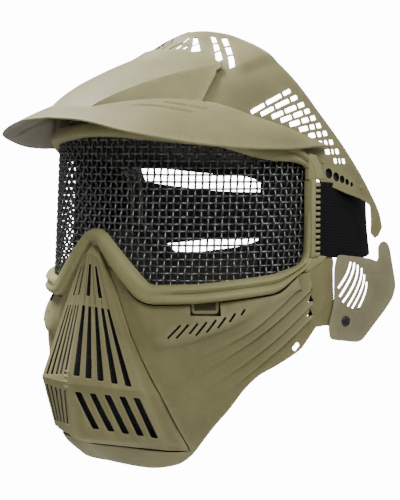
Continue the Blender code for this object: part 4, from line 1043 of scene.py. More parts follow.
# the frame's inner faces take the near-black painted shade
first_inner = len(SECTION) + 6
for face in bm.faces:
    if min(v[place_in_ring] for v in face.verts) >= first_inner:
        face.material_index = 1
piece("goggle_frame_moulding", both_halves(bm), [OLIVE, INNER_SHADE], ["goggle_frame"],
      crisp=50)

# %% [markdown]
# The strap ends at a post with a toothed comb on each temple, the frame runs on in two short
# tails, and a clip on each cheek hooks over the mask. They are flat plates: a face is extruded
# along X, its edges are bevelled, and the far side is mirrored.

# %% Sizes of the posts, combs and tails
POST_LEAD = 0.0015
POST_LENGTH = 0.0036
POST_BOTTOM = -0.0310
POST_OVER = 0.0015
STRAP_TOP = 0.0110
TOOTH_COUNT = 13
TOOTH_ROOT = 0.0010
TOOTH_LENGTH = 0.0035
TOOTH_WIDTH = 0.0017
POST_START = TEMPLE - POST_LEAD
POST_END = POST_START + POST_LENGTH
LOWER_TAIL = (
    # y behind the temple edge of the window, and z
    (-0.0045, -0.0394), (0.0090, -0.0346), (0.0147, -0.0310), (0.0087, -0.0306), (0.0005, -0.0300),
    (-0.0045, -0.0330))
UPPER_TAIL = (
    # y behind the temple edge of the window, and z
    (-0.0025, 0.0270), (-0.0025, 0.0124), (0.0115, 0.0124), (0.0103, 0.0160), (0.0040, 0.0260))
# inner and outer face along X, then the width of the soft edge
POST_DEPTH = (0.0850, 0.0910, 0.0007)
TAIL_DEPTH = (0.0862, 0.0897, 0.0005)
TOOTH_DEPTH = (0.0896, 0.0914, 0.0003)


# %% Plates with soft edges


def pushed_out(bm, corners, depth):
    """Extrudes a face on these corners along X and gives back its far points."""
    made = bmesh.ops.extrude_face_region(bm, geom=[bm.faces.new(corners)])["geom"]
    far = [v for v in made if isinstance(v, bmesh.types.BMVert)]
    bmesh.ops.translate(bm, verts=far, vec=(depth, 0, 0))
    return far


def plate(bm, outline, inner, outer, soft):
    """A plate with the outline in Y and Z, from inner to outer along X, with soft edges."""
    corners = [bm.verts.new((inner, y, z)) for y, z in outline]
    points = set(corners) | set(pushed_out(bm, corners, outer - inner))
    bmesh.ops.recalc_face_normals(bm, faces=list({f for v in points for f in v.link_faces}))
    bmesh.ops.bevel(bm, geom=list({e for v in points for e in v.link_edges}), offset=soft,
                    offset_type="OFFSET", segments=2, profile=0.5, affect="EDGES", clamp_overlap=True,
                    material=-1)


def oblong(front, rear, low, high):
    return [(front, low), (rear, low), (rear, high), (front, high)]


# %% Posts, combs and tails
bm = bmesh.new()
plate(bm, oblong(POST_START, POST_END, POST_BOTTOM, STRAP_TOP + POST_OVER), *POST_DEPTH)
for tail in (LOWER_TAIL, UPPER_TAIL):
    plate(bm, [(TEMPLE + y, z) for y, z in tail], *TAIL_DEPTH)
pitch = (STRAP_TOP - POST_BOTTOM) / TOOTH_COUNT
for k in range(TOOTH_COUNT):
    foot = POST_BOTTOM + (k + 0.5) * pitch - TOOTH_WIDTH / 2
    tooth = oblong(POST_END - TOOTH_ROOT, POST_END + TOOTH_LENGTH, foot, foot + TOOTH_WIDTH)
    plate(bm, tooth, *TOOTH_DEPTH)
piece("strap_posts", both_halves(bm), [OLIVE], crisp=45)

# %% Clips over the mask
CLIP_WIDTH = 0.0150
CLIP_TOP = -0.0480
CLIP_BOTTOM = -0.0606
CLIP_REACH = 0.0846
CLIP_THICK = 0.0025
CLIP_AT = radians(45)
CLIP_CORNER = 0.0025
CLIP_RIM = 0.0016
CLIP_DEEP = 0.0011
CLIP_SLOPE = 0.0003

bm = bmesh.new()
half = CLIP_WIDTH / 2
shape = softened([Vector(p) for p in ((-half, CLIP_TOP), (-half, CLIP_BOTTOM), (half, CLIP_BOTTOM),
                                      (half, CLIP_TOP))], CLIP_CORNER, 4, keep=(0, 3))
corners = [bm.verts.new((CLIP_REACH - CLIP_THICK, spot.x, spot.y)) for spot in shape]
far = pushed_out(bm, corners, CLIP_THICK)
front = next(f for f in bm.faces if all(v in far for v in f.verts))
bmesh.ops.recalc_face_normals(bm, faces=bm.faces[:])
bmesh.ops.inset_region(bm, faces=[front], thickness=CLIP_RIM, depth=0)
bmesh.ops.inset_region(bm, faces=[front], thickness=CLIP_SLOPE, depth=-CLIP_DEEP)
front.material_index = 1
bmesh.ops.rotate(bm, verts=bm.verts[:], matrix=Matrix.Rotation(-CLIP_AT, 3, "Z"))
clips = piece("frame_clips", both_halves(bm), [OLIVE, SHADED_OLIVE], crisp=40)
soften_edges(clips, width=0.0003, angle=40)

# %% [markdown]
# ## Wire lens
#
# The lens is a plain-woven steel mesh. A texture with holes would look flat from the side, so
# every wire is a real one: an open curve with a round bevel. Upright wires pass over and under the
# level ones in a cosine wave, and neighbours wave the other way, which is all that weaving is.

# %% Where a wire crosses the window
WIRE_PITCH = 0.00385
WIRE_RADIUS = 0.00063
WAVE = 0.00056
PER_PITCH = 4
WIRE_PLAY = 0.0004

edge = [p + n * (GROOVE_DEPTH - WIRE_PLAY) for p, n in zip(WINDOW, half_normals(WINDOW))]
edge[0].x = edge[-1].x = 0.0
rim = edge + [Vector((-p.x, p.y)) for p in edge[-2:0:-1]]


def spans(level, axis):
    """Stretches of a straight line that lie inside the window's rim."""
    other = 1 - axis
    cuts = []
    for a, b in zip(rim, rim[1:] + rim[:1]):
        if (a[axis] > level) != (b[axis] > level):
            share = (level - a[axis]) / (b[axis] - a[axis])
            cuts.append(a[other] + share * (b[other] - a[other]))
    cuts.sort()
    return list(zip(cuts[::2], cuts[1::2]))


def on_lens(u, z, out):
    """Point on either half of the lens form."""
    spot = lens_point(abs(u), z, out)
    spot.x = spot.x if u >= 0 else -spot.x
    return spot


# %% Weave the wires
LEVEL_ROWS = 14

weave = bpy.data.curves.new("wire_lens", "CURVE")
weave.dimensions = "3D"
weave.bevel_depth = WIRE_RADIUS
weave.bevel_resolution = 1
weave.use_fill_caps = True
counts = {"upright": 0, "level": 0}
upright_rows = int(max(p.x for p in rim) / WIRE_PITCH) + 1
for axis, name, rows in ((0, "upright", upright_rows), (1, "level", LEVEL_ROWS)):
    for i in range(-rows, rows + 1):
        for low, high in spans(i * WIRE_PITCH, axis):
            if high - low < WIRE_PITCH:
                continue
            count = ceil((high - low) / WIRE_PITCH * PER_PITCH)
            run = weave.splines.new("POLY")
            run.points.add(count)
            for k, point in enumerate(run.points):
                at = low + (high - low) * k / count
                out = WAVE * (-1) ** (i + axis) * cos(pi * at / WIRE_PITCH)
                spot = on_lens(at, i * WIRE_PITCH, out) if axis else on_lens(i * WIRE_PITCH, at, out)
                point.co = (*spot, 1)
            counts[name] += 1
weave.materials.append(WIRE)
lens = bpy.data.objects.new("wire_lens", weave)
bpy.context.scene.collection.objects.link(lens)
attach(lens, "root")
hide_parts("mesh_lens")
print("wires:", counts)

# %% [markdown]
# At both ends of the window the photograph is dark close behind the mesh, where daylight should
# come in from behind. A strip of black foam is guessed to hide it, as painted shade for that dark,
# and follows the mesh's own curve.

# %% Foam behind the window's ends, as painted shade
END_FOAM = (0.77, 0.99)
END_FOAM_HIGH = 0.93
END_FOAM_DEEP = 0.0034
FOAM_GRID = 0.004

front, rear = (share * WINDOW_REACH for share in END_FOAM)
low, high = -END_FOAM_HIGH * WINDOW_BOTTOM, END_FOAM_HIGH * WINDOW_TOP
outline = divided([Vector(p) for p in oblong(front, rear, low, high)], FOAM_GRID)
shade_foam_sheet("window_end_shade_foam", outline, steps(front, rear, FOAM_GRID), steps(low, high, FOAM_GRID),
           lambda u, z: lens_point(u, z, -END_FOAM_DEEP))

# %% [markdown]
# ## Face pad
#
# The pad is open-cell foam on the frame's rear flange. A beveled ring would look turned, so the
# solid's own shape is blown up a little as cloth: it is drawn in, remeshed evenly, and pressed
# out from inside. No point may move far, and none may move into the frame in front of it.

# %% Draw the pad's solid in
PAD_VOXEL = 0.0040
PAD_DRAW_IN = 0.0009
PAD_CAP = 0.0016
PAD_PRESSURE = 4
PAD_FRAMES = 20

bm = bmesh.new()
bm.from_mesh(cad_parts["face_pad"].data)
bmesh.ops.remove_doubles(bm, verts=bm.verts[:], dist=1e-6)
bm.normal_update()
for v, inward in [(v, -v.normal * PAD_DRAW_IN) for v in bm.verts]:
    v.co += inward
pad = piece("foam_pad", bm, [BLACK_FOAM_AND_SHADE], ["face_pad"], crisp=180)


# %% Remesh it evenly


def baked(made):
    """Applies an object's modifiers to its mesh."""
    deps = bpy.context.evaluated_depsgraph_get()
    mesh = bpy.data.meshes.new_from_object(made.evaluated_get(deps))
    made.modifiers.clear()
    made.data = mesh


even = pad.modifiers.new("even", "REMESH")
even.mode = "VOXEL"
even.voxel_size = PAD_VOXEL
bpy.context.view_layer.update()
baked(pad)

# %% Press it out from inside, but not far
start = [v.co.copy() for v in pad.data.vertices]
swell = pad.modifiers.new("swell", "CLOTH")
swell.settings.use_pressure = True
swell.settings.uniform_pressure_force = PAD_PRESSURE
swell.settings.effector_weights.gravity = 0
for step in range(1, PAD_FRAMES + 1):
    bpy.context.scene.frame_set(step)
baked(pad)
bpy.context.scene.frame_set(1)
for v, before in zip(pad.data.vertices, start):
    move = v.co - before
    if move.length > PAD_CAP:
        move = move * (PAD_CAP / move.length)
    move.y = max(0.0, move.y)
    v.co = before + move
pad.data.shade_smooth()
finer = pad.modifiers.new("finer", "SUBSURF")
finer.levels = finer.render_levels = 1
print("pad:", len(pad.data.vertices), "points")

# %% [markdown]
# ## Head strap
#
# One loop of ribbed elastic runs from post to post round the back of the head. It is a flat band
# with softened edges. It could hang as cloth, but it is held stretched, so nothing sags: a line
# of edges across the band is extruded along the path, and a UV map of real metres carries the
# ribs of the weave.

# %% The strap's path
ACROSS_BAND = 14
ON_MIDDLE = 1e-5
STRAP_WIDTH = 0.0413
STRAP_BACK_WIDTH = 0.0310
STRAP_BACK_TOP = 0.0005
STRAP_CENTRE = 0.0250
STRAP_HALF_WIDTH = 0.0860
STRAP_BACK = 0.0840
STRAP_SEAT = 0.0883
STRAP_LAG = 0.0028
STRAP_TUCK, STRAP_STRAIGHT = 0.0007, 0.010
STRAP_KNOTS = 8
STRAP_THICK = 0.0020
STRAP_THINNER = 0.0004
STRAP_START = POST_END + STRAP_LAG


def strap_path(count):
    """Half path in plan, from the post round to the back of the head, and its running length."""
    knots = [Vector((STRAP_SEAT, STRAP_START)),
             Vector((STRAP_SEAT - STRAP_TUCK, STRAP_START + STRAP_STRAIGHT))]
    for k in range(STRAP_KNOTS + 1):
        angle = pi / 2 * k / STRAP_KNOTS
        knots.append(Vector((STRAP_HALF_WIDTH * cos(angle), STRAP_CENTRE + STRAP_BACK * sin(angle))))
    knots[-1].x = 0.0
    run = [0.0]
    for a, b in zip(knots, knots[1:]):
        run.append(run[-1] + (b - a).length)
    xs = [(at, spot.x) for at, spot in zip(run, knots)]
    ys = [(at, spot.y) for at, spot in zip(run, knots)]
    places = [run[-1] * k / count for k in range(count + 1)]
    return [(at, Vector((curve(xs, at), curve(ys, at)))) for at in places], run[-1]


# %% The strap's edges along its path
STRAP_STATIONS = 90
SPLAY = 0.0045
FULLER = 0.0038
TAPER_END, SIDE_END = 0.7, 0.6


def band_at(at):
    """Top edge, width and splay of the lower edge, a given run from the post."""
    share = ease(0, band_length * TAPER_END, at)
    top = STRAP_TOP + (STRAP_BACK_TOP - STRAP_TOP) * share
    width = STRAP_WIDTH + (STRAP_BACK_WIDTH - STRAP_WIDTH) * share
    side = sin(pi * min(1.0, at / (band_length * SIDE_END)))
    return top, width + FULLER * side, SPLAY * side


path, band_length = strap_path(STRAP_STATIONS)
stations, band_area = [], 0.0
for at, spot in path:
    top, width, splay = band_at(at)
    band_area += 2 * width * band_length / len(path)
    shares = [k / ACROSS_BAND for k in range(ACROSS_BAND + 1)]
    stations.append([Vector((spot.x + splay * s ** 2, spot.y, top - width * s)) for s in shares])
for spot in stations[-1]:
    spot.x = 0.0 if abs(spot.x) < ON_MIDDLE else spot.x
bm = both_halves(swept(stations, closed=False))

# %% Its map in metres, its wall and its facts
face_out(bm, Vector((0, STRAP_CENTRE, 0)))
uv = bm.loops.layers.uv.new("band")
spots = [spot for _, spot in path]
for face in bm.faces:
    for corner in face.loops:
        flat = Vector((abs(corner.vert.co.x), corner.vert.co.y))
        near = min(range(len(spots)), key=lambda k: (spots[k] - flat).length_squared)
        top, width, _ = band_at(path[near][0])
        corner[uv].uv = ((top - corner.vert.co.z) / width * STRAP_WIDTH, path[near][0])
strap = piece("elastic_strap", bm, [ELASTIC], ["head_strap"], crisp=60)
wall(strap, STRAP_THICK - STRAP_THINNER, offset=0.0)
soften_edges(strap, width=0.0005, angle=50)
print("strap:", round(2 * band_length * 1000), "mm round,", round(band_area * 1e4, 1), "square cm")

# %% [markdown]
# ## Lower mask
#
# Cheeks, jaw and rear strips are one thin shell. Four overlapping ribs fan out over each jaw,
# and each one drops off sharply below its crest. Scored on a plain grid such a crest would come out
# as a saw, so the flat is warped first: in it every crest, and the foot of every step below it, is
# a level line. The outline and the holes are warped the same way before they are cut.

# %% Mask sizes and edges
MASK_REACH = 0.0900
CHIN_DROP = 0.1470
MASK_SIDE = 0.99 * MASK_REACH
MASK_BACK = radians(99.5)
RIB_HEIGHT = 0.0040
SEAT_GAP = 0.0004
GAP = 0.0003
MASK_WALL = 0.0025
EAR_WALL = 0.0015
EAR_AT = MASK_REACH + 0.0020
EAR_MIDDLE = 0.0200
EAR_FLARE = radians(14)
STUD_SHANK = 0.0016
STUD_BACK = 0.0240
STUD_DROP = 0.0689


def ear_x(y):
    """How far out the ear guard's plane lies; the mask's rear strip follows it."""
    return EAR_AT + tan(EAR_FLARE) * (y - EAR_MIDDLE)


MASK_EDGES = (
    # angle in degrees, drop of the top edge, of the cheek ledge and of the lower edge, as shares of
    # CHIN_DROP
    (0, 0.170, 0.300, 1.006), (13.8, 0.220, 0.330, 1.016), (19.7, 0.300, 0.420, 1.018),
    (24.2, 0.345, 0.500, 1.016), (28.8, 0.365, 0.518, 1.010), (34, 0.370, 0.511, 0.998),
    (38, 0.371, 0.502, 0.975), (41.3, 0.372, 0.494, 0.945), (45, 0.371, 0.480, 0.896),
    (50, 0.368, 0.461, 0.833), (55, 0.363, 0.442, 0.780), (61, 0.355, 0.415, 0.706),
    (67, 0.344, 0.378, 0.654), (73, 0.320, 0.350, 0.626), (80, 0.294, 0.320, 0.592),
    (86, 0.270, 0.300, 0.557), (92.5, 0.240, 0.280, 0.486), (110, 0.240, 0.280, 0.486))

# %% Mask reaches, ribs and holes
MASK_REACHES = (
    # angle in degrees, reach at the top edge, the ledge, half way down, near the lower edge and at it,
    # as shares of MASK_REACH
    (0, 0.925, 0.950, 0.990, 0.980, 0.830), (13.8, 0.930, 0.955, 0.990, 0.915, 0.805),
    (24.2, 0.935, 0.990, 0.992, 0.908, 0.805), (34, 0.940, 0.998, 0.980, 0.912, 0.800),
    (48, 0.945, 0.995, 0.955, 0.895, 0.870), (60, 0.948, 0.980, 0.945, 0.905, 0.895),
    (76.6, 0.965, 0.975, 0.960, 0.935, 0.930), (86, 0.985, 0.985, 0.975, 0.960, 0.955),
    (96, 0.990, 0.990, 0.990, 0.985, 0.985), (110, 0.990, 0.990, 0.990, 0.990, 0.990))
RIBS = (
    # crest: angle in degrees and drop share at the faded front end, the middle and the rear end
    (36, 0.590, 60, 0.484, 80, 0.325), (38, 0.650, 62, 0.515, 85.5, 0.335),
    (41, 0.712, 64, 0.572, 86.5, 0.388), (46, 0.762, 66, 0.612, 86.5, 0.440))
VENTS = (
    # angle in degrees and drop share at the upper and the lower end
    (36.2, 0.450, 31.9, 0.498), (39.0, 0.447, 35.0, 0.496), (42.2, 0.443, 39.4, 0.480),
    (45.3, 0.438, 41.6, 0.486), (48.6, 0.430, 45.2, 0.475), (52.0, 0.421, 49.1, 0.459),
    (55.5, 0.408, 53.2, 0.438), (59.2, 0.394, 57.6, 0.414))
RIB_ENDS = (
    # corners: angle in degrees and drop share
    ((86.9, 0.310), (85.4, 0.338), (87.9, 0.334)), ((87.0, 0.352), (85.2, 0.380), (87.6, 0.376)),
    ((87.0, 0.404), (85.0, 0.434), (87.4, 0.430)))
MASK_REAR = (
    # y and z from the lower corner up the rear strip
    (0.0035, -0.0712), (0.0130, -0.0710), (0.0180, -0.0732), (0.0268, -0.0736), (0.0282, -0.0722),
    (0.0282, -0.0660), (0.0270, -0.0645), (0.0200, -0.0640), (0.0176, -0.0600), (0.0172, -0.0500))
MASK_LOBE = (
    # y behind the temple edge of the window, and z, over the lobe and under the frame's tail
    (0.0205, -0.0390), (0.0209, -0.0350), (0.0202, -0.0325), (0.0185, -0.0310), (0.0167, -0.0310),
    (0.0156, -0.0314), (0.0145, -0.0313), (0.0093, -0.0325), (0.0033, -0.0350), (-0.0015, -0.0390))
RIB_ABOVE = 0.0096
RIB_BELOW = 0.0018
# how fast a rib comes up, its height at the front and what it gains to the rear, and where it ends
RIB_COMES, RIB_FRONT, RIB_GAIN, RIB_STOP = 1.5, 0.45, 0.55, 1.03

# %% The ribs


def rib_crest(rib, angle):
    front, drop0, middle, drop1, rear, drop2 = rib
    return -CHIN_DROP * curve([(front, drop0), (middle, drop1), (rear, drop2)], angle)


def rib_height(angle, z):
    """Overlapping ribs: each rises towards its crest and steps in below it."""
    height = 0.0
    for rib in RIBS:
        share = (angle - rib[0]) / (rib[4] - rib[0])
        if share <= 0 or share >= RIB_STOP:
            continue
        above = z - rib_crest(rib, angle)
        rise = max(0.0, 1 - (above / RIB_ABOVE if above >= 0 else -above / RIB_BELOW))
        fade = min(1.0, RIB_COMES * share)
        height = max(height, rise * RIB_HEIGHT * fade * (RIB_FRONT + RIB_GAIN * share))
    return height


# %% The mask's face
CHEEK_ROUND = 1.8
STEP_RUN = 0.0035
STEP_AT, STEP_FORWARD = 0.0150, 0.0045
STEP_HEIGHTS = (-0.056, -0.064)
MASK_TURN = -MASK_SIDE * cos(MASK_BACK)
MASK_ARC = MASK_BACK * MASK_REACH


def mask_drop(angle, index):
    """Height of the mask's top edge (1), of its cheek ledge (2) or of its lower edge (3)."""
    return -CHIN_DROP * column(MASK_EDGES, index, angle)


def mask_reach(angle, z):
    """Distance of the mask's face from the head's axis."""
    top, ledge, low = (mask_drop(angle, index) for index in (1, 2, 3))
    reach = [MASK_REACH * column(MASK_REACHES, k, angle) for k in (1, 2, 3, 4, 5)]
    if z >= ledge:
        share = max(0.0, min(1.0, (top - z) / max(top - ledge, 1e-4)))
        return reach[0] + (reach[1] - reach[0]) * (1 - (1 - share) ** CHEEK_ROUND)
    share = min(1.0, (ledge - z) / (ledge - low))
    return curve([(0, reach[1]), (0.5, reach[2]), (0.88, reach[3]), (1, reach[4])], share)


def step_start(z):
    """How far back the mask starts to run behind the ear guard; further forward low down."""
    return STEP_AT - STEP_FORWARD * ease(*STEP_HEIGHTS, z)


def mask_point(u, z, out=0.0):
    """Point on the lower mask, u along its girth; its rear strip runs behind the ear guard."""
    angle = min(u, MASK_ARC) / MASK_REACH
    reach = mask_reach(degrees(angle), z) + out
    x = reach * sin(angle)
    y = -reach * cos(angle) + max(0.0, u - MASK_ARC)
    behind = ear_x(y) - (EAR_WALL + GAP) / cos(EAR_FLARE) + out
    start = step_start(z)
    step = ease(start - STEP_RUN, start, y)
    return Vector((x + (behind - x) * step, y, z))


# %% Places in the mask's flat


def at_angle(angle, z):
    return Vector((radians(angle) * MASK_REACH, z))


def at_side(y, z):
    """A place in the mask's flat from how far back and how high it lies at the side."""
    if y <= MASK_TURN:
        return Vector((acos(-y / MASK_SIDE) * MASK_REACH, z))
    return Vector((MASK_ARC + y - MASK_TURN, z))


def bearing_of(spot):
    """Degrees round from straight ahead."""
    return degrees(atan2(spot.x, -spot.y))


# %% The mask's edge round the grill
SEAT_START = 0.25
UNDER_CHIN = (0.0, 0.35, 0.7, 1.0)


def grill_seat():
    """The mask's edge round the grill: its flank's edge, set off by the seat's clearance."""
    flank = [grill_node(row, 3) for row in GRILL_ROWS]
    flank[0] = flank[0].lerp(flank[1], SEAT_START)
    line_points = [at_angle(bearing_of(spot), spot.z) for spot in flank]
    seat = []
    for i, here in enumerate(line_points[:-1]):
        before = line_points[max(i - 1, 0)]
        along = (line_points[i + 1] - before).normalized()
        seat.append(here + Vector((-along.y, along.x)) * SEAT_GAP)
    seat.append(line_points[-1] + Vector((2 * SEAT_GAP, -2 * SEAT_GAP)))
    edge, middle = grill_node(GRILL_ROWS[-1], 2), grill_node(GRILL_ROWS[-1], 1)
    for share in UNDER_CHIN:
        spot = edge.lerp(middle, share)
        seat.append(at_angle(bearing_of(spot), spot.z - 2 * SEAT_GAP))
    return seat


# %% The mask's edge below the frame
# the part of the frame's edge that the mask runs along: highest place, least downward turn, degrees
UNDER_HIGH, UNDER_FACING, UNDER_SPAN = -0.033, -0.5, (9.0, 84)


def under_frame():
    """The mask's top edge below the frame, from the temple to the nose, with the clip's notch."""
    spots = []
    for point, normal in zip(WINDOW, half_normals(WINDOW)):
        spot = point + normal * (frame_width(point.x, point.y) + SEAT_GAP)
        angle = bearing_of(lens_point(spot.x, spot.y))
        if spot.y < UNDER_HIGH and normal.y < UNDER_FACING and UNDER_SPAN[0] < angle < UNDER_SPAN[1]:
            spots.append((angle, spot.y))
    half = degrees((CLIP_WIDTH / 2 + SEAT_GAP) / CLIP_REACH)
    middle = degrees(CLIP_AT)
    before = [at_angle(a, z) for a, z in spots if a > middle + half]
    after = [at_angle(a, z) for a, z in spots if a < middle - half]
    low = CLIP_BOTTOM - SEAT_GAP
    rear, front = middle + half, middle - half
    notch = [at_angle(rear, line(spots[::-1], rear)), at_angle(rear, low), at_angle(front, low),
             at_angle(front, line(spots[::-1], front))]
    return before + notch + after


# %% The mask's whole outline
MASK_LOWER = range(0, 87, 2)


def mask_outline():
    """Half outline: under the chin, up the rear edge, along the frame and down the grill's seat."""
    lower = [at_angle(a, mask_drop(a, 3)) for a in MASK_LOWER]
    rear = [at_side(*spot) for spot in MASK_REAR] + [at_side(TEMPLE + y, z) for y, z in MASK_LOBE]
    return lower + rear + under_frame() + grill_seat()


# %% The crease across the cheek
CREASE_HEIGHT = 0.0024
CREASE_ABOVE = 0.0120
CREASE_BELOW = 0.0034
CREASE_CLEAR = 0.0015
CREASE_FRONT, CREASE_REAR = (24, 30), (52, 74)


def cheek_crease(angle):
    """Height of the crease below the cheek vents; it stays above the first rib."""
    return max(mask_drop(angle, 2), rib_crest(RIBS[0], angle) + CREASE_CLEAR)


def crease_height(angle, z):
    """The cheek rises towards its crease and falls away below it."""
    above = z - cheek_crease(angle)
    rise = max(0.0, 1 - (above / CREASE_ABOVE if above >= 0 else -above / CREASE_BELOW))
    return CREASE_HEIGHT * rise * ease(*CREASE_FRONT, angle) * (1 - ease(*CREASE_REAR, angle))


# %% Warp the flat so that the ribs' crests lie level
LEVELS = (-0.060, -0.072, -0.084, -0.096)
CREASE_LEVEL = -0.050


def rib_levels(angle):
    """Heights and flat levels of the crests and of the steps' feet, from the bottom up."""
    crests = [rib_crest(rib, angle) for rib in RIBS]
    rows = []
    for k, crest in enumerate(crests):
        below = crests[k + 1] if k + 1 < len(crests) else crest - 1
        rows.append((crest, LEVELS[k]))
        rows.append((crest - min(RIB_BELOW, 0.45 * (crest - below)), LEVELS[k] - RIB_BELOW))
    rows.append((cheek_crease(angle), CREASE_LEVEL))
    rows.sort()
    return rows


def moved_by(rows, z, take, give):
    """Carries a height between the two scales, in straight stretches, and shifts it beyond the ends."""
    low, high = rows[0], rows[-1]
    if z <= low[take]:
        return z - low[take] + low[give]
    if z >= high[take]:
        return z - high[take] + high[give]
    return line([(row[take], row[give]) for row in rows], z)


def to_level(spot):
    return Vector((spot.x, moved_by(rib_levels(degrees(spot.x / MASK_REACH)), spot.y, 0, 1)))


def mask_place(u, level):
    angle = degrees(u / MASK_REACH)
    z = moved_by(rib_levels(angle), level, 1, 0)
    return mask_point(u, z, max(rib_height(angle, z), crease_height(angle, z)))


# %% Cut the mask's outline and holes
VENT_WIDE = 0.0009
STRAP_SLOT = ((81.4, -0.0828), (83.6, -0.0794), 0.0030, 0.0013)
EDGE_STEP = 0.0022
GRID = 0.0024

loops = [mask_outline()]
for angle0, drop0, angle1, drop1 in VENTS:
    loops.append(bar(at_angle(angle0, -CHIN_DROP * drop0), at_angle(angle1, -CHIN_DROP * drop1),
                     VENT_WIDE, VENT_WIDE))
for corners in RIB_ENDS:
    loops.append([at_angle(a, -CHIN_DROP * d) for a, d in corners])
low, high, wide, corner = STRAP_SLOT
loops.append(softened(bar(at_angle(*low), at_angle(*high), wide, wide), corner, arc_steps=5))
behind = sin(EAR_FLARE) * (EAR_WALL + GAP + MASK_WALL / 2)
hole = circle(STUD_BACK + behind, -STUD_DROP, STUD_SHANK + 2 * GAP, sides=16)
loops.append([at_side(spot.x, spot.y) for spot in hole])
outline, *holes = ([to_level(spot) for spot in divided(loop, EDGE_STEP)] for loop in loops)
heights = [spot.y for spot in outline]
rows = sorted(LEVELS + tuple(level - RIB_BELOW for level in LEVELS) + (min(heights), max(heights)))
down = rows[1:-1]
for low, high in zip(rows, rows[1:]):
    down += steps(low, high, GRID)
bm = cut_flat(outline, holes, steps(0, max(spot.x for spot in outline), GRID), down)
carry(bm, mask_place)
shell("lower_mask_shell", bm, [TAN, INNER_SHADE], ["lower_mask"],
      crisp=32, thickness=MASK_WALL)

# %% [markdown]
# The cheek vents are dark in the photograph too, so the same thin black foam is guessed behind them, as
# painted shade for that dark.

# %% Foam behind the cheek vents, as painted shade
FOAM_CORNERS = ((29.5, 0.430), (29.5, 0.520), (45, 0.500), (62, 0.425), (62, 0.375), (45, 0.420))
FOAM_EDGE = 0.003
VENT_FOAM_ACROSS, VENT_FOAM_DOWN = (0.045, 0.100), (-0.080, -0.050)

outline = divided([at_angle(angle, -CHIN_DROP * drop) for angle, drop in FOAM_CORNERS], FOAM_EDGE)
shade_foam_sheet("vent_shade_foam", outline, steps(*VENT_FOAM_ACROSS, FOAM_GRID), steps(*VENT_FOAM_DOWN, FOAM_GRID),
           lambda u, z: mask_point(u, z, -MASK_WALL - FOAM_GAP))

# %% [markdown]
# How the shells overlap behind their seams can't be seen, but no daylight shows through them. So
# a thin ledge is guessed behind the mask's edge, at the grill and at the frame. Each is a strip
# that follows the same edge a little further in, near black, as painted shade for the dark of a
# deep seam.

# %% Ledges behind the seams, near black as painted shade
LEDGE_UNDER = 0.0035
LEDGE_BACK = 0.0030
LEDGE_SET_IN = MASK_WALL + 0.0012
LEDGE_THICK = 0.0010
LEDGE_STEP = 0.003
LEDGE_PARTS = 4


def ledge(name, edge):
    """A strip behind an edge of the mask, from its points in the flat; their right side is open."""
    edge = divided(edge, LEDGE_STEP, closed=False)
    stations = []
    for before, here, after in zip(edge[:1] + edge, edge, edge[1:] + edge[-1:]):
        along = (after - before).normalized()
        side = Vector((along.y, -along.x))
        row = [here + side * (LEDGE_UNDER - (LEDGE_UNDER + LEDGE_BACK) * k / LEDGE_PARTS)
               for k in range(LEDGE_PARTS + 1)]
        stations.append([mask_point(max(0.0, spot.x), spot.y, -LEDGE_SET_IN) for spot in row])
    bm = face_out(both_halves(swept(stations, closed=False)))
    wall(piece(name, bm, [SEAM_SHADE]), LEDGE_THICK)


ledge("grill_ledge", grill_seat())
ledge("frame_ledge", [at_side(TEMPLE + y, z) for y, z in MASK_LOBE[-2:]] + under_frame())

# %% [markdown]
# ## Head guard
#
# The guard is the front of a dome with squarer sides, a middle band that stands a little proud,
# rows of slots on each side and a fan of slots over the crown. Latitude and longitude on the
# dome are its flat.

# %% Dome sizes
DOME_BACK = 0.0660
DOME_LOW = 0.0300
DOME_HALF_WIDTH = 0.0920
DOME_LENGTH = 0.1760
DOME_HEIGHT = 0.1385
DOME_SQUARE = 0.85
BAND_RAISE = 0.0016
BAND_EDGE = (33.0, 38.0)
BAND_START = (-28.6, -26.0)
DOME_DROP = 0.0045
DOME_DROP_END = 0.0600
GUARD_WALL = 0.0018


def dome_point(across, along, out=0.0):
    """Point on the dome, in degrees: across from the top to the side, along from the front (-90)."""
    a, b = radians(across), radians(along)
    ray = Vector((sin(a) * cos(b), sin(b), cos(a) * cos(b)))
    round_share = (ray.y ** 2 + ray.z ** 2) ** (1 / DOME_SQUARE)
    size = (abs(ray.x) ** (2 / DOME_SQUARE) + round_share) ** (-DOME_SQUARE / 2)
    raised = BAND_RAISE * (1 - ease(*BAND_EDGE, abs(across))) * ease(*BAND_START, along)
    width, length, height = (d + out + raised for d in (DOME_HALF_WIDTH, DOME_LENGTH, DOME_HEIGHT))
    x, y, z = ray.x * size * width, DOME_BACK + ray.y * size * length, ray.z * size * height - DOME_LOW
    return Vector((x, y, z - dome_drop(x)))


def dome_drop(x):
    """The dome falls away faster beside its middle."""
    return DOME_DROP * sin(pi * min(abs(x) / DOME_DROP_END, 1.0)) ** 2


def dome_height(x, y, out=0.0):
    """Height of the dome over a place in plan, or nothing beside it."""
    qx = abs(x) / (DOME_HALF_WIDTH + out)
    qy = (y - DOME_BACK) / (DOME_LENGTH + out)
    room = max(0.0, 1 - qx ** (2 / DOME_SQUARE)) ** DOME_SQUARE - qy ** 2
    return (DOME_HEIGHT + out) * sqrt(room) - DOME_LOW - dome_drop(x) if room > 0 else -1.0


# %% The guard's outline in degrees
ACROSS = 0.0021
ALONG = 0.0030


def dome_flat(across, along):
    """A place in the guard's flat from its degrees."""
    return Vector((across * ACROSS, along * ALONG))


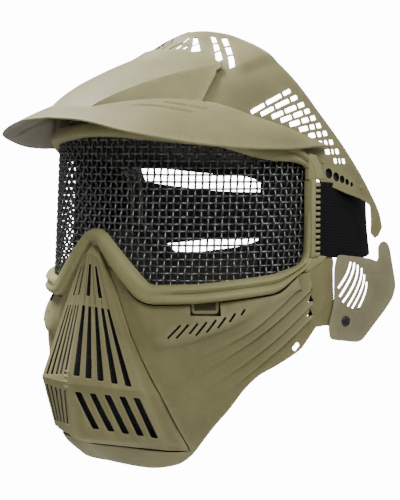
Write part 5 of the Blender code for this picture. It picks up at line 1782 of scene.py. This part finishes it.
GUARD_REAR = (
    # across and along, in degrees
    (0, -23.3), (4.0, -22.3), (8.6, -20.9), (14.3, -19.2), (22.3, -18.8), (31.6, -19.0),
    (36, -18.5), (41, -17.8), (48.7, -16.2), (54, -14.9), (59.4, -12.9), (66.6, -9.5),
    (74.8, -5.3), (80.8, -2.3), (84.6, -1.4))
GUARD_TAIL = ((86.6, -2.7), (87.0, -4.0), (85.8, -5.2))
GUARD_FRONT = (
    (82.0, -5.0), (79.2, -5.1), (78.2, -6.3), (77.2, -8.2), (75.8, -11.9), (74.2, -15.2), (73.2, -18.0),
    (70.2, -19.8), (67.2, -22.0), (64.5, -25.5))

# %% The guard's tables of slots
GUARD_ROWS = (
    # across at the front and rear ends, then along at the front end, two bars and the rear end,
    # in degrees
    (51.4, 48.3, -30.1, -26.3, -21.7, -19.4), (52.9, 50.5, -28.2, -24.6, -20.5, -18.5),
    (54.5, 52.9, -26.0, -22.9, -19.4, -17.6), (56.1, 54.9, -24.3, -21.3, -18.4, -16.8),
    (57.7, 57.0, -22.6, -19.8, -17.5, -16.0), (59.5, 59.2, -20.7, -18.3, -16.6, -15.2),
    (61.5, 61.4, -18.9, -17.0, -15.5, -14.2), (63.7, 63.8, -17.3, -15.7, -14.4, -13.2),
    (66.0, 66.2, -15.7, -14.3, -13.3, -12.2), (68.4, 68.7, -13.9, -12.9, -12.0, -11.0))
ROW_HIGH = 1.25
BAR = 0.30
FAN_BAR = 0.03
FAN = (
    # front and rear ends (across, along) in degrees, width in degrees at both, cells
    (2.3, -32.1, 4.2, -26.6, 0.8, 0.6, 1), (5.3, -31.3, 5.0, -29.5, 0.8, 0.5, 1),
    (7.9, -30.5, 7.9, -29.0, 1.0, 0.6, 1), (13.1, -29.5, 6.4, -26.0, 3.3, 1.1, 2),
    (24.8, -28.3, 10.6, -23.0, 2.0, 1.3, 3), (32.0, -28.0, 14.1, -21.6, 1.6, 1.7, 3))
BAND_HOLES = ((70.7, -15.8, 0.0026), (71.7, -14.0, 0.0023), (72.4, -12.5, 0.0019), (73.1, -11.2, 0.0015),
              (73.8, -10.0, 0.0011))


# %% The guard's brow edge
BROW_GAP = 0.0036
BROW_SEARCH = (-70.0, -18.0)
HALVINGS = 30
UPWARD = 0.3


def brow_edge(across):
    """Where the dome comes down to just above the frame's top edge."""
    tops = []
    for point, normal in zip(WINDOW, half_normals(WINDOW)):
        if normal.y > UPWARD:
            edge = point + normal * frame_width(point.x, point.y)
            tops.append((edge.x, edge.y))
    low, high = BROW_SEARCH
    for _ in range(HALVINGS):
        along = (low + high) / 2
        spot = dome_point(across, along)
        reach = atan2(spot.x, -spot.y) * LENS_ARC
        if spot.z < line(tops, reach) + BROW_GAP:
            low = along
        else:
            high = along
    return dome_flat(across, high)


# %% The guard's slots and holes
SLOT_ROUND = 0.0005


def guard_holes():
    loops = []
    for across0, across1, *cuts in GUARD_ROWS:
        span = cuts[-1] - cuts[0]
        for start, stop in zip(cuts, cuts[1:]):
            start, stop = start + BAR * (start > cuts[0]), stop - BAR * (stop < cuts[-1])
            a0, a1 = (across0 + (across1 - across0) * (at - cuts[0]) / span for at in (start, stop))
            corners = ((a0, start), (a1, stop), (a1 - ROW_HIGH, stop), (a0 - ROW_HIGH, start))
            loops.append(softened([dome_flat(*corner) for corner in corners], SLOT_ROUND, arc_steps=2))
    for a0, b0, a1, b1, wide0, wide1, cells in FAN:
        front, rear = dome_flat(a0, b0), dome_flat(a1, b1)
        for k in range(cells):
            s0, s1 = k / cells + FAN_BAR * (k > 0), (k + 1) / cells - FAN_BAR * (k < cells - 1)
            w0, w1 = ((wide0 + (wide1 - wide0) * share) * ACROSS for share in (s0, s1))
            cell = bar(front.lerp(rear, s0), front.lerp(rear, s1), w0, w1)
            loops.append(softened(cell, SLOT_ROUND, arc_steps=2))
    for across, along, radius in BAND_HOLES:
        loops.append(circle(across * ACROSS, along * ALONG, radius, sides=20))
    return loops


# %% Cut and carry the guard
GUARD_EDGE = 0.0025
GUARD_GRID = (0.0024, 0.0026)
BROW_STATIONS = range(60, -1, -4)
DOME_STEP = 1.2

brow = [brow_edge(across) for across in BROW_STATIONS]
rear = [(a, curve(GUARD_REAR, a)) for a in steps(0, GUARD_REAR[-1][0], DOME_STEP)]
border = [GUARD_REAR[0], *rear, GUARD_REAR[-1], *GUARD_TAIL, *GUARD_FRONT]
outline = divided([dome_flat(*corner) for corner in border] + brow, GUARD_EDGE)
alongs = [spot.y for spot in outline]
across = steps(0.0, max(spot.x for spot in outline), GUARD_GRID[0]) + [a * ACROSS for a in BAND_EDGE]
along = steps(min(alongs), max(alongs), GUARD_GRID[1]) + [a * ALONG for a in BAND_START]
bm = cut_flat(outline, guard_holes(), across, along, margin=0.22)
carry(bm, lambda u, v: dome_point(u / ACROSS, v / ALONG), drop=0.0002)
shell("head_guard_shell", bm, [TAN, INNER_SHADE], ["head_guard"],
      crisp=34, thickness=GUARD_WALL)

# %% [markdown]
# The round holes in each side band are dark in the photograph, so a strip of black foam is guessed
# behind them, on the inside of the guard, as painted shade for that dark.

# %% Foam behind the band's holes, as painted shade
BAND_FOAM = ((69.2, -18.0), (75.2, -12.6), (76.4, -8.2), (71.8, -8.4), (68.4, -14.4))
BAND_FOAM_ACROSS, BAND_FOAM_ALONG = (0.142, 0.162), (-0.055, -0.026)

outline = divided([dome_flat(*corner) for corner in BAND_FOAM], FOAM_EDGE)
shade_foam_sheet("band_shade_foam", outline, steps(*BAND_FOAM_ACROSS, FOAM_GRID), steps(*BAND_FOAM_ALONG, FOAM_GRID),
           lambda u, v: dome_point(u / ACROSS, v / ALONG, -GUARD_WALL - FOAM_GAP))

# %% [markdown]
# Two small round bosses stand on each side band, one before the row of holes and one behind it.

# %% Bosses
BOSSES = (
    # across and along in degrees, and the radius
    (67.8, -16.9, 0.0013), (74.5, -7.4, 0.0016))
BOSS_HIGH = 0.0009

bm = bmesh.new()
for across, along, radius in BOSSES:
    spot = dome_point(across, along)
    normal = (dome_point(across, along, 0.001) - spot).normalized()
    cap(bm, spot, normal, radius, BOSS_HIGH, segments=16, rings=8)
piece("guard_bosses", both_halves(bm), [TAN])

# %% [markdown]
# ## Visor
#
# Brim, wings and the raised hood are one pressing whose shape is a height over the plan, so its
# flat is the plan itself. The hood's shoulder and foot are straight in plan: they are scored, so
# that the folds stay crisp.

# %% Visor sizes
BRIM_REACH = 0.1205
BRIM_HEIGHT = 0.0467
HOOD_FRONT = 0.1030
HOOD_REAR = 0.0250
HOOD_FRONT_HALF = 0.0160
HOOD_REAR_HALF = 0.0410
HOOD_FOOT = 0.0499
HOOD_FOOT_AT = 0.0500
HOOD_CORNER = 0.0436
HOOD_SHOULDER = 0.0780
HOOD_CROWN = 0.0085
HOOD_BULGE = 0.0015
VISOR_WALL = 0.0020
VISOR_OUT = VISOR_WALL + 0.0005
VISOR_SIDE = LENS_HALF_WIDTH + FRAME_PROUD + 0.0020
BRIM = (
    # bearing in degrees, share of the way from VISOR_SIDE out to BRIM_REACH, height as a share of
    # BRIM_HEIGHT
    (0, 1.000, 1.000), (12, 1.017, 0.960), (24.6, 0.992, 0.830), (39.7, 0.595, 0.712),
    (56.5, 0.327, 0.645), (75, 0.148, 0.636), (88, 0.000, 0.660), (102, -0.128, 0.672))
HOOD_END = (
    # rear edge of the hood and the seam down to the valley: across and along, in degrees
    (0, -34.0), (6.1, -33.5), (10.8, -31.8), (16.4, -29.9), (20.3, -29.4), (25.0, -29.3), (28.7, -29.4),
    (31.0, -30.2), (31.4, -31.8), (33.1, -32.7), (36.8, -35.8))
WING = (
    # valley between the wing and the dome: across and along, in degrees
    (40.6, -38.8), (46.5, -35.0), (52.3, -30.6), (58.0, -24.2), (63.5, -16.9), (64.6, -15.0))
INNER_FRONT = 0.0720
INNER_HEIGHT = 0.0620
INNER_FALL = 0.0020
# the wing's bulge in front, what it gains to the side, and between which bearings
WING_BULGE, WING_GAIN, WING_TURN = 0.35, 0.45, (58, 74)
# the share of HOOD_CROWN at the hood's front and what it gains, the ridge's rise, and its rear end
CROWN_FRONT, CROWN_GAIN, RIDGE_POWER, HOOD_PAST = 0.13, 0.87, 0.8, 1.08


# %% Brim and wings over the plan


def valley():
    """Bearing, reach and height of the wing's inner border."""
    rows = [(0.0, INNER_FRONT, INNER_HEIGHT), (25.0, INNER_FRONT, INNER_HEIGHT - INNER_FALL)]
    for across, along in WING:
        spot = dome_point(across, along, VISOR_OUT)
        rows.append((bearing_of(spot), hypot(spot.x, spot.y), spot.z))
    return rows


VALLEY = valley()


def brim_reach(bearing):
    return VISOR_SIDE + (BRIM_REACH - VISOR_SIDE) * column(BRIM, 1, bearing)


def wing_height(x, y):
    """Brim and wings: from the rim up to the valley at the dome."""
    bearing = degrees(atan2(x, -y))
    rim = brim_reach(bearing)
    rim_height = BRIM_HEIGHT * column(BRIM, 2, bearing)
    root, root_height = column(VALLEY, 1, bearing), column(VALLEY, 2, bearing)
    share = max(0.0, min(1.0, (rim - hypot(x, y)) / max(rim - root, 1e-4)))
    bulge = WING_BULGE + WING_GAIN * ease(*WING_TURN, bearing)
    return rim_height + (root_height - rim_height) * (share + bulge * share * (1 - share))


# %% The raised hood over the plan


def hood_edges(y):
    """Half widths of the hood's top and of its foot, at a place fore and aft."""
    along = (y + HOOD_FRONT) / (HOOD_FRONT - HOOD_REAR)
    top = HOOD_FRONT_HALF + (HOOD_REAR_HALF - HOOD_FRONT_HALF) * along
    foot = [(-HOOD_FRONT, HOOD_FRONT_HALF), (-HOOD_FOOT_AT, HOOD_FOOT), (-HOOD_REAR, HOOD_CORNER)]
    return top, line(foot, y), along


def visor_height(x, y):
    top, foot, along = hood_edges(y)
    height = wing_height(x, y)
    if 0 < along < HOOD_PAST and abs(x) < foot:
        low = wing_height(HOOD_FRONT_HALF, -HOOD_FRONT)
        ridge = low + (HOOD_SHOULDER - low) * along ** RIDGE_POWER
        ridge += HOOD_BULGE * max(0.0, sin(pi * along))
        crown = ridge + HOOD_CROWN * (CROWN_FRONT + CROWN_GAIN * along)
        base = max(wing_height(foot, y), dome_height(foot, y, VISOR_OUT))
        if abs(x) <= top:
            height = crown + (ridge - crown) * (x / top) ** 2
        else:
            height = ridge + (base - ridge) * (abs(x) - top) / (foot - top)
    return max(height, dome_height(x, y, VISOR_OUT))


# %% The two thin grooves on each wing
WING_GROOVES = (
    # both ends in plan
    ((0.0327, -0.0890), (0.0557, -0.0650)), ((0.0426, -0.0708), (0.0576, -0.0549)))
WING_GROOVE_WIDE = 0.0011
WING_GROOVE_DEEP = 0.0007


def groove_depth(x, y):
    deep = 0.0
    for a, b in WING_GROOVES:
        a, b = Vector(a), Vector(b)
        along = b - a
        share = (Vector((x, y)) - a).dot(along) / along.length_squared
        near = (Vector((x, y)) - a - along * share).length
        if -0.02 < share < 1.02:
            deep = max(deep, WING_GROOVE_DEEP * max(0.0, 1 - near / WING_GROOVE_WIDE))
    return deep


def visor_place(u, v):
    return Vector((u, v, visor_height(u, v) - groove_depth(u, v)))


# %% Cut and carry the visor
RIM_END = 101
RIM_PARTS = 80
VISOR_HALF = 0.094

inner = []
for across, along in divided([Vector(p) for p in HOOD_END + WING], DOME_STEP, closed=False):
    inner.append(dome_point(across, along, VISOR_OUT).xy)
rim_line = []
for k in range(RIM_PARTS + 1):
    bearing = RIM_END * (1 - k / RIM_PARTS)
    reach = brim_reach(bearing)
    rim_line.append(Vector((reach * sin(radians(bearing)), -reach * cos(radians(bearing)))))
rim_line[-1].x = 0.0
outline = divided(inner + rim_line, EDGE_STEP)
low, high = min(spot.y for spot in outline), max(spot.y for spot in outline)
front, rear = (HOOD_FRONT_HALF, -HOOD_FRONT), (HOOD_REAR_HALF, -HOOD_REAR)
foot, corner = (HOOD_FOOT, -HOOD_FOOT_AT), (HOOD_CORNER, -HOOD_REAR)
folds = [(front, rear), (front, foot), (foot, corner)]
for a, b in ((Vector(a), Vector(b)) for a, b in WING_GROOVES):
    side = (b - a).normalized().orthogonal() * WING_GROOVE_WIDE
    folds += [(a + side * k, b + side * k) for k in (-1, 0, 1)]
bm = cut_flat(outline, [], steps(0, VISOR_HALF, GRID), steps(low, high, GRID), folds, margin=0.6)
carry(bm, visor_place, drop=0.0004)
shell("visor_shell", bm, [TAN, UNDERSIDE], ["visor"],
      crisp=22, thickness=VISOR_WALL)

# %% [markdown]
# ## Ear guards and rivets
#
# Each ear guard is a flat plate that flares out behind, with six curved slots and a hook on top.
# It is cut flat, carried to its leaning plane, and its rim is lowered. A rivet, spun from
# its profile, holds it to the mask's rear strip.

# %% Ear guard outline and its table of slots
EAR_OUTLINE = (
    # y as a share of EAR_LENGTH behind EAR_FRONT_Y, and z as a share of EAR_HEIGHT below EAR_TOP_Z
    (0.135, 0.110), (0.600, 0.165), (0.725, 0.205), (0.720, 0.055), (0.760, 0.010), (0.815, 0.000),
    (0.865, 0.025), (0.900, 0.080), (0.985, 0.420), (0.985, 0.480), (0.950, 0.575), (0.840, 0.690),
    (0.480, 1.000), (0.040, 0.940), (0.020, 0.800), (0.095, 0.590), (0.095, 0.250))
EAR_HEIGHT = 0.0585
EAR_LENGTH = 0.0507
EAR_FRONT_Y = 0.0110
EAR_TOP_Z = -0.0240
EAR_SLOTS = (
    # upper, middle and lower points of each slot, as in EAR_OUTLINE, then its nominal width
    ((0.327, 0.193), (0.280, 0.306), (0.158, 0.439), 0.0018),
    ((0.379, 0.198), (0.337, 0.335), (0.178, 0.525), 0.0018),
    ((0.432, 0.226), (0.387, 0.397), (0.221, 0.583), 0.0017),
    ((0.487, 0.260), (0.450, 0.419), (0.292, 0.626), 0.0015),
    ((0.525, 0.325), (0.490, 0.467), (0.355, 0.650), 0.0015),
    ((0.560, 0.400), (0.535, 0.515), (0.442, 0.655), 0.0014))
SLOT_SHARE = 0.36


# %% Ear guard slots


def ear_flat(along, down):
    return Vector((EAR_FRONT_Y + along * EAR_LENGTH, EAR_TOP_Z - down * EAR_HEIGHT))


def ear_slot(slot, count=12):
    """A slot of even width along the curve through its upper, middle and lower points."""
    upper, middle, lower = (ear_flat(*p) for p in slot[:3])
    half = slot[3] * SLOT_SHARE
    bend = middle * 2 - (upper + lower) / 2
    left, right = [], []
    for k in range(count + 1):
        t = k / count
        spot = upper * (1 - t) ** 2 + bend * (2 * t * (1 - t)) + lower * t ** 2
        along = ((bend - upper) * (1 - t) + (lower - bend) * t).normalized()
        side = Vector((-along.y, along.x)) * half
        left.append(spot + side)
        right.append(spot - side)
    return left + right[::-1]


# %% Both ear guards
EAR_GRID = 0.004
EAR_EDGE = 0.003
EAR_ROUND = 0.0045

outline = divided(softened([ear_flat(*p) for p in EAR_OUTLINE], EAR_ROUND, arc_steps=5), EAR_EDGE)
hole = circle(STUD_BACK, -STUD_DROP, STUD_SHANK + GAP, sides=20)
loops = [ear_slot(slot) for slot in EAR_SLOTS] + [hole]
low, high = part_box("ear_guard_left")
for hand, side in (("left", 1), ("right", -1)):
    bm = cut_flat(outline, loops, steps(low.y, high.y, EAR_GRID), steps(low.z, high.z, EAR_GRID),
                  margin=0.40, both_sides=False)
    carry(bm, lambda y, z: Vector((ear_x(y), y, z)), both_sides=False, drop=0.0004)
    if side < 0:
        bmesh.ops.scale(bm, vec=(-1, 1, 1), verts=bm.verts[:])
        face_out(bm)
    shell("ear_plate_" + hand, bm, [GREY_TAN, GREY_TAN], ["ear_guard_" + hand],
          crisp=40, thickness=EAR_WALL)

# %% Both rivets
STUD_RADIUS = 0.0029
STUD_HEAD = 0.0012
STUD_BRIM = 0.0003
STUD_ARC = 6

grip = EAR_WALL + GAP + MASK_WALL + GAP
profile = [(0.0, STUD_HEAD + GAP)]
for k in range(1, STUD_ARC + 1):
    turn = pi / 2 * k / STUD_ARC
    profile.append((STUD_RADIUS * sin(turn), GAP + STUD_BRIM + (STUD_HEAD - STUD_BRIM) * cos(turn)))
profile += [(STUD_RADIUS, GAP), (STUD_SHANK - GAP, GAP), (STUD_SHANK - GAP, -grip), (STUD_RADIUS, -grip),
            (STUD_RADIUS, -grip - STUD_HEAD), (0.0, -grip - STUD_HEAD)]
for hand, side in (("left", 1), ("right", -1)):
    bm = bmesh.new()
    points = [bm.verts.new((r, 0, z)) for r, z in profile]
    edges = [bm.edges.new(pair) for pair in zip(points, points[1:])]
    bmesh.ops.spin(bm, geom=points + edges, cent=(0, 0, 0), axis=(0, 0, 1), angle=2 * pi, steps=24,
                   use_merge=True)
    bmesh.ops.remove_doubles(bm, verts=bm.verts[:], dist=1e-6)
    bmesh.ops.recalc_face_normals(bm, faces=bm.faces[:])
    normal = Vector((side * cos(EAR_FLARE), -sin(EAR_FLARE), 0))
    seat = Vector((side * ear_x(STUD_BACK), STUD_BACK, -STUD_DROP))
    turn = normal.to_track_quat("Z", "Y").to_matrix().to_4x4()
    bmesh.ops.transform(bm, verts=bm.verts[:], matrix=Matrix.Translation(seat) @ turn)
    piece("rivet_" + hand, bm, [RIVET], ["ear_stud_" + hand], crisp=40)
